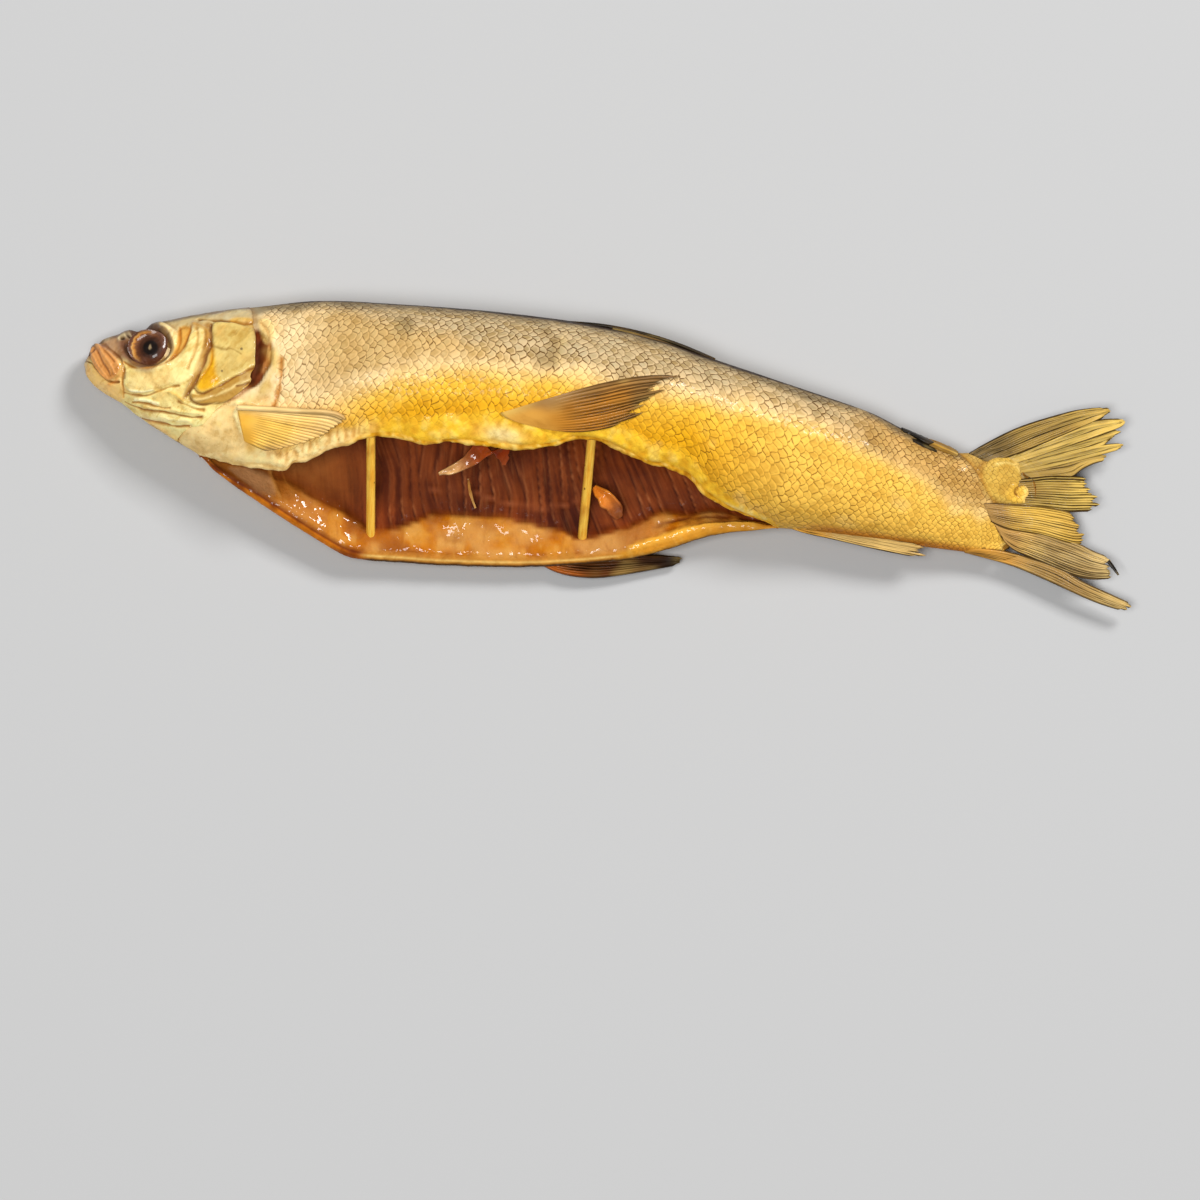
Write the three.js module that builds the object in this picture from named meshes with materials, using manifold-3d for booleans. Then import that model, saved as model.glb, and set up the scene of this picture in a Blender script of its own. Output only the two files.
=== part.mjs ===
// A whole smoked whitefish, gutted, lying on its right flank, with its slit belly held open by two wooden sticks.
// Millimetres. +X runs from the nose to the tail, +Y from the belly to the back, +Z up from the ground.
// The origin is on the ground, under the middle of the fish's outline.
import * as THREE from "three";
import { mergeVertices } from "three/addons/utils/BufferGeometryUtils.js";
import Module from "manifold-3d";

const wasm = await Module();
wasm.setup();

// Driving dimensions.
const NOSE_X = -172;
const TAIL_ROOT_X = 129;
const TAIL_TIP_X = 172;
const SLIT_FRONT_X = -131;
const SLIT_REAR_X = 56;
const STICK_RADIUS = 1.5;
const STICK_CLEARANCE = 0.3;
const UPPER_RIM = 3.2;
const LOWER_RIM = 2.2;
const BLADE = 1.6;

// Shape of the body along its length: [x, value] pairs that smooth curves run through.
const BACK_Y = profile([
  [-172, 7.5], [-170, 11], [-167.5, 14], [-161.5, 17.2], [-153, 21.2], [-137, 27.4], [-118, 32.5], [-100, 36.9],
  [-74, 39.6], [-42, 41.7], [-10, 42], [10, 40.3], [28, 36.7], [56, 31.6], [80, 27], [92, 23], [104, 20], [113, 19.4],
  [121, 18], [129, 14],
]);
const BELLY_Y = profile([
  [-172, 4.5], [-167, -0.5], [-158.5, -4.5], [-148, -10.2], [-137, -15], [-131, -17.6], [-125, -22], [-113, -28.2],
  [-98, -35.2], [-87, -40], [-80, -42.5], [-74.5, -43.1], [-66, -42.4], [-50, -41.2], [-32, -39], [-18, -36.9],
  [7, -31.2], [20.6, -26], [32, -20.4], [39.3, -17.8], [47, -15.9], [56, -13.7], [79, -13], [105, -12.8],
  [120, -11], [129, -5],
]);
const FLAP_Y = profile([
  [-131, -17.5], [-119, -19.2], [-106, -18.2], [-101, -15.7], [-94, -13], [-90, -9.8], [-84, -7.2], [-79, -4.3],
  [-70, -2.6], [-60, -3.8], [-51, -1.9], [-37, -0.9], [-28, -0.4], [-19, 1.9], [-13, 4.7], [-4, 5], [4, 2.6],
  [12, 0.4], [18, 0.3], [25, -1.8], [31, -6.3], [41, -10.3], [52, -12.4], [56, -13.7],
]);
const TOP_Z = profile([
  [-172, 9.5], [-168, 14], [-160, 19], [-150, 23.5], [-135, 28], [-118, 31.5], [-100, 35], [-80, 38.5], [-50, 40.5],
  [-15, 40], [15, 37.5], [35, 34.5], [56, 31], [80, 26], [100, 20.5], [113, 16], [121, 12.5], [129, 9],
]);
const FLOOR_Z = profile([
  [-172, 6.5], [-168, 4.5], [-160, 3], [-150, 1.8], [-135, 0.6], [-120, -0.8], [-100, -1.4], [56, -1.2], [90, -0.6],
  [113, 1.5], [121, 3], [129, 5],
]);
const RIDGE_Z = profile([
  [-172, 8], [-160, 11.5], [-150, 12.8], [-135, 14.4], [-118, 15.5], [-80, 16.5], [-15, 17], [30, 16.5], [56, 15],
  [80, 13], [100, 10.5], [113, 8.8], [129, 7],
]);
const EDGE_Z = profile([
  [-172, 8], [-160, 10.5], [-150, 12], [-131, 13], [-113, 12], [-96, 10], [-75, 8], [-50, 7], [-18, 7], [7, 8],
  [32, 10.5], [56, 13.5], [80, 12.5], [105, 10], [120, 8.5], [129, 7],
]);
const FLAP_Z = profile([
  [-131, 13], [-121, 20], [-106, 27], [-93, 31], [-78, 34], [-50, 35.5], [-15, 35], [5, 33], [20, 29], [31, 24.5],
  [45, 18], [56, 13.5],
]);

const FLANK_POINTS = 17;
const LINING_POINTS = 8;
const FULLY_OPEN_Z = 20;

/** A smooth curve through the given [x, value] pairs, as a function of x. */
function profile(pairs) {
  const slope = (i) => {
    const before = pairs[Math.max(i - 1, 0)];
    const after = pairs[Math.min(i + 1, pairs.length - 1)];
    return (after[1] - before[1]) / (after[0] - before[0]);
  };
  return (x) => {
    const last = pairs.length - 1;
    if (x <= pairs[0][0]) return pairs[0][1];
    if (x >= pairs[last][0]) return pairs[last][1];
    const i = pairs.findIndex((p, k) => k < last && x < pairs[k + 1][0]);
    const width = pairs[i + 1][0] - pairs[i][0];
    const t = (x - pairs[i][0]) / width;
    const rise = 3 * t * t - 2 * t * t * t;
    const startTangent = slope(i) * width * (t * t * t - 2 * t * t + t);
    const endTangent = slope(i + 1) * width * (t * t * t - t * t);
    return pairs[i][1] * (1 - rise) + pairs[i + 1][1] * rise + startTangent + endTangent;
  };
}

/** A point on the cubic Bezier curve through four [y, z] points. */
function bezier(points, t) {
  const s = 1 - t;
  const weights = [s * s * s, 3 * s * s * t, 3 * s * t * t, t * t * t];
  return [0, 1].map((axis) => points.reduce((sum, p, k) => sum + p[axis] * weights[k], 0));
}

/** A point on the quadratic Bezier curve through three [x, y] points. */
function arc(points, t) {
  const s = 1 - t;
  return [0, 1].map((axis) => points[0][axis] * s * s + 2 * points[1][axis] * s * t + points[2][axis] * t * t);
}

const mix = (a, b, t) => a + (b - a) * t;

/** How far the belly gapes at x, from 0 where it is whole to 1 where it is wide open. */
function gape(x) {
  if (x <= SLIT_FRONT_X || x >= SLIT_REAR_X) return 0;
  return Math.min(Math.max((FLAP_Z(x) - EDGE_Z(x)) / FULLY_OPEN_Z, 0), 1);
}

/** The upper edge of the cut at x, which is the belly line where the belly is whole. */
function flapEdge(x) {
  return x <= SLIT_FRONT_X || x >= SLIT_REAR_X ? [BELLY_Y(x), EDGE_Z(x)] : [FLAP_Y(x), FLAP_Z(x)];
}

/** The four control points of the left flank, which faces up, from the ridge of the back to the edge of the cut. */
function leftFlank(x) {
  const [back, ridge, top] = [BACK_Y(x), RIDGE_Z(x), TOP_Z(x)];
  const [edgeY, edgeZ] = flapEdge(x);
  const [depth, open] = [back - edgeY, gape(x)];
  return [
    [back, ridge],
    [back - 0.03 * depth, ridge + (top - ridge) * mix(1.33, 1.1, open)],
    [edgeY + depth * mix(0.06, 0.42, open), mix(edgeZ + (top - edgeZ) * 1.33, top + 5, open)],
    [edgeY, edgeZ],
  ];
}

/** The four control points of the right flank, which lies on the ground. */
function rightFlank(x) {
  const [back, ridge, floor, open] = [BACK_Y(x), RIDGE_Z(x), FLOOR_Z(x), gape(x)];
  const [edgeY, edgeZ] = [BELLY_Y(x), EDGE_Z(x)];
  const depth = back - edgeY;
  return [
    [back, ridge],
    [back - 0.03 * depth, ridge - (ridge - floor) * 1.33],
    [edgeY + depth * mix(0.06, 0.36, open), mix(edgeZ - (edgeZ - floor) * 1.33, floor - 2, open)],
    [edgeY, edgeZ],
  ];
}

/** The lining of the belly at x: two Bezier curves that meet at its roof, near the backbone. */
function lining(x) {
  const open = gape(x);
  const [flapY, flapZ] = flapEdge(x);
  const [edgeY, edgeZ] = [BELLY_Y(x), EDGE_Z(x)];
  const reach = Math.min(open * 1.5, 1);
  const roofY = mix(Math.max(flapY, edgeY), BACK_Y(x) - 29, reach);
  const roofZ = mix((flapZ + edgeZ) / 2, 19, reach);
  const inner = [flapY + 0.6 * reach, flapZ - UPPER_RIM * reach];
  const outer = [edgeY + 1.4 * reach, edgeZ + LOWER_RIM * reach];
  return {
    upper: [inner, [mix(inner[0], roofY, 0.5), inner[1] + 1.5 * reach], [roofY, roofZ + 8 * reach], [roofY, roofZ]],
    lower: [[roofY, roofZ], [roofY, roofZ - 9 * reach], [mix(outer[0], roofY, 0.4), 4.2 + 2 * (1 - reach)], outer],
  };
}

/** One cross-section of the body, as [x, y, z] points going round it from the lower edge of the cut. */
function section(x) {
  const at = ([y, z]) => [x, y, Math.max(z, 0)];
  const [left, right, inside] = [leftFlank(x), rightFlank(x), lining(x)];
  const ring = [];
  for (let k = 0; k < FLANK_POINTS; k++) ring.push(at(bezier(right, 1 - k / FLANK_POINTS)));
  for (let k = 0; k <= FLANK_POINTS; k++) ring.push(at(bezier(left, k / FLANK_POINTS)));
  const belly = at([BELLY_Y(x), EDGE_Z(x)]);
  const whole = gape(x) === 0;
  for (let k = 0; k < LINING_POINTS; k++) ring.push(whole ? belly : at(bezier(inside.upper, k / LINING_POINTS)));
  for (let k = 0; k <= LINING_POINTS; k++) ring.push(whole ? belly : at(bezier(inside.lower, k / LINING_POINTS)));
  return ring;
}

/** Evenly spaced numbers from a to b, b left out. */
function steps(a, b, count) {
  return Array.from({ length: count }, (_, k) => a + ((b - a) * k) / count);
}

/** A manifold solid from [x, y, z] points and triangles of their indices, facing outwards either way round. */
function solid(points, triangles) {
  const geometry = new THREE.BufferGeometry();
  geometry.setAttribute("position", new THREE.Float32BufferAttribute(points.flat(), 3));
  geometry.setIndex(triangles.flat());
  return solidOf(geometry);
}

/** A manifold solid from a three.js geometry, with its shared vertices merged and its flat slivers left out. */
function solidOf(geometry) {
  const bare = geometry.clone();
  bare.deleteAttribute("normal");
  bare.deleteAttribute("uv");
  const merged = mergeVertices(bare, 1e-3);
  const index = merged.index.array;
  const kept = [];
  for (let i = 0; i < index.length; i += 3) {
    const [a, b, c] = [index[i], index[i + 1], index[i + 2]];
    if (a !== b && b !== c && c !== a) kept.push(a, b, c);
  }
  const make = (triVerts) =>
    new wasm.Manifold(
      new wasm.Mesh({ numProp: 3, vertProperties: merged.attributes.position.array, triVerts: new Uint32Array(triVerts) }),
    );
  const made = make(kept);
  return made.volume() > 0 ? made : make(kept.reverse());
}

/** A closed skin over rings of equal length, with both ends capped. */
function loft(rings) {
  const count = rings[0].length;
  const points = rings.flat();
  const triangles = [];
  for (let i = 0; i + 1 < rings.length; i++) {
    for (let k = 0; k < count; k++) {
      const [a, b] = [i * count + k, i * count + ((k + 1) % count)];
      triangles.push([a, b, b + count], [a, b + count, a + count]);
    }
  }
  for (const [start, flip] of [[0, true], [(rings.length - 1) * count, false]]) {
    const ring = points.slice(start, start + count);
    const centre = points.push([0, 1, 2].map((axis) => ring.reduce((sum, p) => sum + p[axis], 0) / count)) - 1;
    for (let k = 0; k < count; k++) {
      const [a, b] = [start + k, start + ((k + 1) % count)];
      triangles.push(flip ? [b, a, centre] : [a, b, centre]);
    }
  }
  return solid(points, triangles);
}

/** The height of a flank's skin over the point (x, y). */
function skinZ(x, y, side) {
  const flank = side === "left" ? leftFlank(x) : rightFlank(x);
  let before = flank[0];
  for (let k = 1; k <= 48; k++) {
    const after = bezier(flank, k / 48);
    if (before[0] >= y && after[0] <= y && before[0] > after[0]) {
      const t = (before[0] - y) / (before[0] - after[0]);
      return Math.max(mix(before[1], after[1], t), 0);
    }
    before = after;
  }
  return Math.max(flank[3][1], 0);
}

/** A thin blade or plate that lies on a flank between two edge curves, sunk a little into it and standing proud. */
function plate({ first, second, side, proud, sunk, lengthSteps = 9, widthSteps = 4 }) {
  const sign = side === "left" ? 1 : -1;
  const rows = [];
  for (let i = 0; i <= lengthSteps; i++) {
    const u = i / lengthSteps;
    const [a, b] = [arc(first, u), arc(second, u)];
    const row = [];
    for (let k = 0; k <= widthSteps; k++) {
      const v = k / widthSteps;
      const [x, y] = [mix(a[0], b[0], v), mix(a[1], b[1], v)];
      row.push([x, y, skinZ(x, y, side)]);
    }
    rows.push({ u, row });
  }
  const raised = ([x, y, z], u) => [x, y, Math.max(z + sign * (typeof proud === "function" ? proud(u) : proud), 0)];
  const buried = ([x, y, z]) => [x, y, z - sign * sunk];
  return loft(rows.map(({ u, row }) => [...row.map((p) => raised(p, u)), ...row.map(buried).reverse()]));
}

/** A flat blade of the given [x, y] outline, centred on the height z. */
function blade(outline, z, thickness = BLADE) {
  const shape = new THREE.Shape(outline.map(([x, y]) => new THREE.Vector2(x, y)));
  const geometry = new THREE.ExtrudeGeometry(shape, { depth: thickness, bevelEnabled: false });
  return solidOf(geometry.translate(0, 0, z - thickness / 2));
}

/** The body with its head, open from the slit's front to its rear. */
function makeBody() {
  const nose = [0, 0.8, 2, 3.8, 6, 9, 13, 18].map((step) => NOSE_X + step);
  const stations = [
    ...nose,
    ...steps(NOSE_X + 23, SLIT_FRONT_X, 4),
    ...steps(SLIT_FRONT_X, SLIT_REAR_X, 44),
    ...steps(SLIT_REAR_X, TAIL_ROOT_X, 16),
    TAIL_ROOT_X,
  ];
  return loft(stations.map(section));
}

/** The forked tail fin: a fan of torn ray bundles, given by the points of its ragged trailing edge. */
function makeTailFin() {
  const upperEdge = [[108, 18], [114, 20.9], [119, 24.3], [125, 28.4], [134, 32.4], [145, 37], [156.5, 39.6]];
  const raggedEdge = [
    [152.5, 36.4], [162.2, 36.5], [157, 33.9], [161.9, 32.8], [155.5, 29.2], [162, 28.2], [153, 24.4], [157.8, 23.6],
    [151, 20.6], [146.5, 15.7], [153.7, 16.2], [154.8, 10.7], [158, 7.2], [146.4, 5], [150.3, 2.5], [154.8, -2.1],
    [154.7, -4.9], [164, -8.7], [165, -13.3], [160.5, -15.4], [152.1, -16],
  ];
  const lowerEdge = [[TAIL_TIP_X, -22.7], [169.5, -24], [158, -22.3], [148, -18.7], [138, -15.6], [126, -13.4], [108, -12]];
  return blade([...upperEdge, ...raggedEdge, ...lowerEdge], 7.2, 2.4);
}

/** The fins in the fish's own plane: the folded dorsal fin and the anal fin. */
function makeMedianFins() {
  const dorsal = blade([[-13, 40], [-11, 42.8], [2, 43.1], [16, 41.4], [30.5, 37.2], [27, 35], [8, 38]], 17, 2.4);
  const anal = blade([[57, -10.5], [62, -13.8], [74, -14.6], [90, -16], [105.3, -16.4], [104, -11], [90, -9.5]], 11, 1.8);
  return dorsal.add(anal);
}

/** The paired fins, which lie along the flanks. */
function makePairedFins() {
  const pectoral = plate({
    first: [[-120.5, -1.4], [-103, -1.4], [-86.6, 0.4]],
    second: [[-115.7, -10.4], [-104, -15.4], [-87.4, -1]],
    side: "left", proud: (u) => 0.9 + 0.5 * u, sunk: 1,
  });
  const pelvic = plate({
    first: [[-37, 9.8], [-10, 25.5], [18.5, 30]],
    second: [[-29, 7], [10, 7], [18.5, 28.4]],
    side: "left", proud: (u) => 0.9 + 0.8 * u, sunk: 1,
  });
  const farPelvic = plate({
    first: [[-16, -33.5], [2, -31], [28, -26.4]],
    second: [[-18, -36.8], [2, -41], [29, -28.2]],
    side: "right", proud: 1.3, sunk: 1.2,
  });
  const farPectoral = plate({
    first: [[-119, -10], [-105, -14], [-89, -20]],
    second: [[-120, -17], [-106, -25.5], [-90, -22]],
    side: "right", proud: 1.1, sunk: 1,
  });
  return [pectoral, pelvic, farPelvic, farPectoral];
}

/** The small adipose fin, folded down on the left of the tail. */
function makeAdiposeFin() {
  return plate({
    first: [[91, 21.5], [99, 20.5], [107.5, 16.5]],
    second: [[93, 18.5], [99, 15.5], [107, 15]],
    side: "left", proud: 1.2, sunk: 1, lengthSteps: 5, widthSteps: 3,
  });
}

/** The gill covers and the eyes, one of each on either side of the head. */
function makeFace() {
  const parts = [];
  for (const side of ["left", "right"]) {
    parts.push(
      plate({
        first: [[-133, 23], [-121, 27], [-114.5, 26]],
        second: [[-134, -3], [-124, -1], [-114.5, 10]],
        side, proud: side === "left" ? 1.2 : 0.5, sunk: 1, lengthSteps: 6, widthSteps: 6,
      }),
    );
    const [eyeX, eyeY] = [-151.9, 14.4];
    const lift = side === "left" ? -3 : 3;
    const ball = new THREE.SphereGeometry(6.2, 20, 12).scale(1, 0.92, 0.75);
    parts.push(solidOf(ball.translate(eyeX, eyeY, skinZ(eyeX, eyeY, side) + lift)));
  }
  return parts;
}

/** The mouth's slit, to cut away from the head. */
function makeMouthSlit() {
  const outline = [[-174, 6.9], [-160.5, 4.4], [-160.5, 3.9], [-174, 6]];
  return blade(outline, 8, 40);
}

/** A round stick with softened ends, from one end point to the other. */
function makeStick(from, to, radius) {
  const [start, end] = [new THREE.Vector3(...from), new THREE.Vector3(...to)];
  const length = start.distanceTo(end);
  const soft = radius * 0.4;
  const outline = [
    [0, 0], [radius - soft, 0], [radius, soft], [radius, length - soft], [radius - soft, length], [0, length],
  ];
  const geometry = new THREE.LatheGeometry(outline.map(([x, y]) => new THREE.Vector2(x, y)), 18);
  const turn = new THREE.Quaternion().setFromUnitVectors(
    new THREE.Vector3(0, 1, 0),
    end.clone().sub(start).normalize(),
  );
  geometry.applyQuaternion(turn);
  return solidOf(geometry.translate(...from));
}

/** A named mesh of a solid, in the given look. */
function meshOf(name, made, look) {
  const { numProp, numVert, vertProperties, triVerts } = made.getMesh();
  const positions = new Float32Array(numVert * 3);
  for (let i = 0; i < numVert; i++) positions.set(vertProperties.subarray(i * numProp, i * numProp + 3), i * 3);
  const geometry = new THREE.BufferGeometry();
  geometry.setAttribute("position", new THREE.BufferAttribute(positions, 3));
  geometry.setIndex(new THREE.BufferAttribute(triVerts, 1));
  geometry.computeVertexNormals();
  const mesh = new THREE.Mesh(geometry, new THREE.MeshStandardMaterial(look));
  mesh.name = name;
  return mesh;
}

// Each stick stands from a dent in the lower belly wall to a dent under the upper one.
const STICKS = [
  { name: "front_stick", foot: [-72.9, -37.2, 7], head: [-77.6, -1.6, 33] },
  { name: "rear_stick", foot: [-5.9, -26.6, 7.2], head: [-7.6, 9, 32.5] },
];

const whole = [makeTailFin(), makeMedianFins(), ...makePairedFins(), makeAdiposeFin(), ...makeFace()].reduce(
  (sum, piece) => sum.add(piece),
  makeBody(),
);
const seats = STICKS.map(({ foot, head }) => makeStick(foot, head, STICK_RADIUS + STICK_CLEARANCE));
const fish = seats.reduce((sum, seat) => sum.subtract(seat), whole.subtract(makeMouthSlit()));

const group = new THREE.Group();
group.add(meshOf("fish", fish, { color: 0xd9ae4f, roughness: 0.38, metalness: 0 }));
for (const { name, foot, head } of STICKS) {
  const stick = makeStick(foot, head, STICK_RADIUS);
  group.add(meshOf(name, stick, { color: 0xe3b765, roughness: 0.6, metalness: 0 }));
}

export default group;
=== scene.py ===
"""A gutted smoked whitefish on its right side, its slit belly held open by two wooden sticks."""

from __future__ import annotations

import logging
import math
from dataclasses import dataclass, fields
from enum import Enum
from typing import Any, Sequence

import bpy
import numpy as np
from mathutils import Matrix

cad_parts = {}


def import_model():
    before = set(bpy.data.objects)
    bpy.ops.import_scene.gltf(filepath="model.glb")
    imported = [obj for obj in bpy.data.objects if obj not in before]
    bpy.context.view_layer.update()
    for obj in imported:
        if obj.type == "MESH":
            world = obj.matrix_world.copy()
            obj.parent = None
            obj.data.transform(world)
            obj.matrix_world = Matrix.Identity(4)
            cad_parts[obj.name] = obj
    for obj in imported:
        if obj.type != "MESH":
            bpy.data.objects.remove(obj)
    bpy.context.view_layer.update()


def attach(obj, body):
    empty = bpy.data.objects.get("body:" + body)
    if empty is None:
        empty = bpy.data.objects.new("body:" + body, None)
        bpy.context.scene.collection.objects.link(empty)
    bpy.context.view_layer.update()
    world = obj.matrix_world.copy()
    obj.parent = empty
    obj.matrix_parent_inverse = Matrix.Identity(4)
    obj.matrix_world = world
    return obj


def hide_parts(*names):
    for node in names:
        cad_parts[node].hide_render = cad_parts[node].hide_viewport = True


LOG = logging.getLogger("smoked_fish")
MM = 0.001
SEAM_GAP = 0.003 * MM
CURVE_STEPS = 160
SKIN_STEPS = 120
PATH_STEPS = 100
Array = np.ndarray
Point = tuple[float, float]
Colour = tuple[float, float, float]


class Side(Enum):
    """The fish's two flanks: the left one faces up and the right one lies on the ground."""

    LEFT = 1
    RIGHT = -1


class Zone(Enum):
    """The stretches of skin and lining that go round one cross-section of the trunk."""

    RIGHT_FLANK = 0
    LEFT_FLANK = 1
    UPPER_RIM = 2
    LINING = 3
    LOWER_RIM = 4


# ---- numbers


def rgb(red: float, green: float, blue: float) -> Colour:
    """A linear colour from display values of 0 to 255."""
    parts = [value / 255 for value in (red, green, blue)]
    return tuple(v / 12.92 if v <= 0.04045 else ((v + 0.055) / 1.055) ** 2.4 for v in parts)


def ease(low: float, high: float, value: Array) -> Array:
    """0 below low, 1 above high, and a smooth rise between them."""
    t = np.clip((value - low) / (high - low), 0, 1)
    return t * t * (3 - 2 * t)


def bell(value: Array, width: float) -> Array:
    """1 where the value is 0, falling off softly over the width on either side."""
    return np.exp(-((value / width) ** 2))


def mix(a: Any, b: Any, t: Any) -> Any:
    """The value a fraction t of the way from a to b."""
    return a + (b - a) * t


def bezier(controls: Array, t: Array) -> Array:
    """Points on cubic curves.

    Args:
        controls: Four control points a curve, (..., 4, 2).
        t: Places on the curves, of a shape that broadcasts with the curves' own.

    Returns:
        The points, (..., 2).
    """
    s = 1 - t
    weights = (s * s * s, 3 * s * s * t, 3 * s * t * t, t * t * t)
    return sum(w[..., None] * controls[..., k, :] for k, w in enumerate(weights))


def even_places(controls: Array, count: int) -> Array:
    """Places on each cubic curve, an equal length of the curve apart.

    Args:
        controls: Four control points for each of N curves, (N, 4, 2).
        count: How many stretches each curve is cut into.

    Returns:
        The places from 0 to 1, (N, count + 1).
    """
    dense = np.linspace(0, 1, CURVE_STEPS + 1)
    points = bezier(controls[:, None], np.broadcast_to(dense, (len(controls), len(dense))))
    lengths = np.linalg.norm(np.diff(points, axis=1), axis=2)
    along = np.concatenate([np.zeros((len(controls), 1)), np.cumsum(lengths, axis=1)], axis=1)
    wanted = np.linspace(0, 1, count + 1)
    return np.stack([np.interp(wanted * row[-1], row, dense) if row[-1] > 1e-9 else wanted for row in along])


def rounded(path: Sequence[Point], closed: bool, rounds: int = 2) -> Array:
    """A path with its corners cut into curves.

    Args:
        path: The path.
        closed: Whether its end joins its start.
        rounds: How often the corners are cut.

    Returns:
        The smoother path, (N, 2).
    """
    points = np.array(path, float)
    for _ in range(rounds):
        after = np.roll(points, -1, axis=0) if closed else points[1:]
        before = points if closed else points[:-1]
        cut = np.stack([mix(before, after, 0.25), mix(before, after, 0.75)], axis=1).reshape(-1, 2)
        points = cut if closed else np.concatenate([points[:1], cut, points[-1:]])
    return points


def path_distance(x: Array, y: Array, path: Array, closed: bool) -> Array:
    """How far each point (x, y) is from a path.

    Args:
        x: The points' x.
        y: Their y.
        path: The path, (N, 2).
        closed: Whether its end joins its start.

    Returns:
        The distances.
    """
    best = np.full(x.shape, 1e9)
    ends = np.roll(path, -1, axis=0) if closed else path[1:]
    for (ax, ay), (bx, by) in zip(path if closed else path[:-1], ends):
        dx, dy = bx - ax, by - ay
        t = np.clip(((x - ax) * dx + (y - ay) * dy) / max(dx * dx + dy * dy, 1e-12), 0, 1)
        best = np.minimum(best, (x - ax - t * dx) ** 2 + (y - ay - t * dy) ** 2)
    return np.sqrt(best)


def depth_inside(x: Array, y: Array, outline: Array) -> Array:
    """How far inside a closed outline each point is; outside it, the distance is negative.

    Args:
        x: The points' x.
        y: Their y.
        outline: The outline, (N, 2).

    Returns:
        The depths.
    """
    inside = np.zeros(x.shape, bool)
    for (ax, ay), (bx, by) in zip(outline, np.roll(outline, -1, axis=0)):
        if ay != by:
            inside ^= ((ay > y) != (by > y)) & (x < (bx - ax) * (y - ay) / (by - ay) + ax)
    distance = path_distance(x, y, outline, True)
    return np.where(inside, distance, -distance)


@dataclass(frozen=True)
class Curve:
    """A smooth curve through (x, value) pairs, level beyond its ends."""

    pairs: tuple[Point, ...]

    def __call__(self, x: Array) -> Array:
        """The curve's value at x.

        Args:
            x: Where.

        Returns:
            The values.
        """
        xs, ys = np.array(self.pairs, float).T
        slopes = np.gradient(ys, xs)
        slopes[1:-1] = (ys[2:] - ys[:-2]) / (xs[2:] - xs[:-2])
        x = np.clip(x, xs[0], xs[-1])
        i = np.clip(np.searchsorted(xs, x, side="right") - 1, 0, len(xs) - 2)
        width = xs[i + 1] - xs[i]
        t = (x - xs[i]) / width
        rise = 3 * t**2 - 2 * t**3
        start, end = slopes[i] * width * (t**3 - 2 * t**2 + t), slopes[i + 1] * width * (t**3 - t**2)
        return ys[i] * (1 - rise) + ys[i + 1] * rise + start + end


@dataclass(frozen=True)
class Grain:
    """Soft random unevenness from -1 to 1, the same on every run."""

    size: float
    seed: int = 0
    octaves: int = 1

    def __call__(self, *axes: Array) -> Array:
        """The unevenness at the points whose coordinates the axes hold, in millimetres.

        Args:
            axes: The coordinates.

        Returns:
            The unevenness.
        """
        total, weight = 0.0, 0.0
        for octave in range(self.octaves):
            scaled = [axis * (2**octave / self.size) for axis in axes]
            total = total + self._layer(scaled, self.seed + 31 * octave) * 0.5**octave
            weight += 0.5**octave
        return total / weight

    @staticmethod
    def _layer(axes: list[Array], seed: int) -> Array:
        """One layer of the unevenness, whose lattice is one unit wide.

        Args:
            axes: The coordinates in lattice units.
            seed: The lattice's own number.

        Returns:
            The unevenness.
        """
        cells = [np.floor(axis).astype(np.int64) for axis in axes]
        eased = [ease(0, 1, axis - cell) for axis, cell in zip(axes, cells)]
        total = 0.0
        for corner in range(2 ** len(axes)):
            weight, key = 1.0, np.int64(seed * 668265263 % 4294967296)
            for k, (cell, part, prime) in enumerate(zip(cells, eased, (73856093, 19349663, 83492791))):
                bit = (corner >> k) & 1
                weight = weight * (part if bit else 1 - part)
                key = key ^ (((cell + bit) * prime) & 0xFFFFFFFF)
            key = ((key ^ (key >> 13)) * 1274126177) & 0xFFFFFFFF
            key = ((key ^ (key >> 16)) * 668265263) & 0xFFFFFFFF
            total = total + weight * ((key ^ (key >> 15)) / 2147483648.0 - 1)
        return total


# ---- meshes


def select_only(piece: bpy.types.Object) -> None:
    """Leave this piece selected and active, and nothing else.

    Args:
        piece: The piece.
    """
    bpy.ops.object.select_all(action="DESELECT")
    piece.select_set(True)
    bpy.context.view_layer.objects.active = piece


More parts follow.
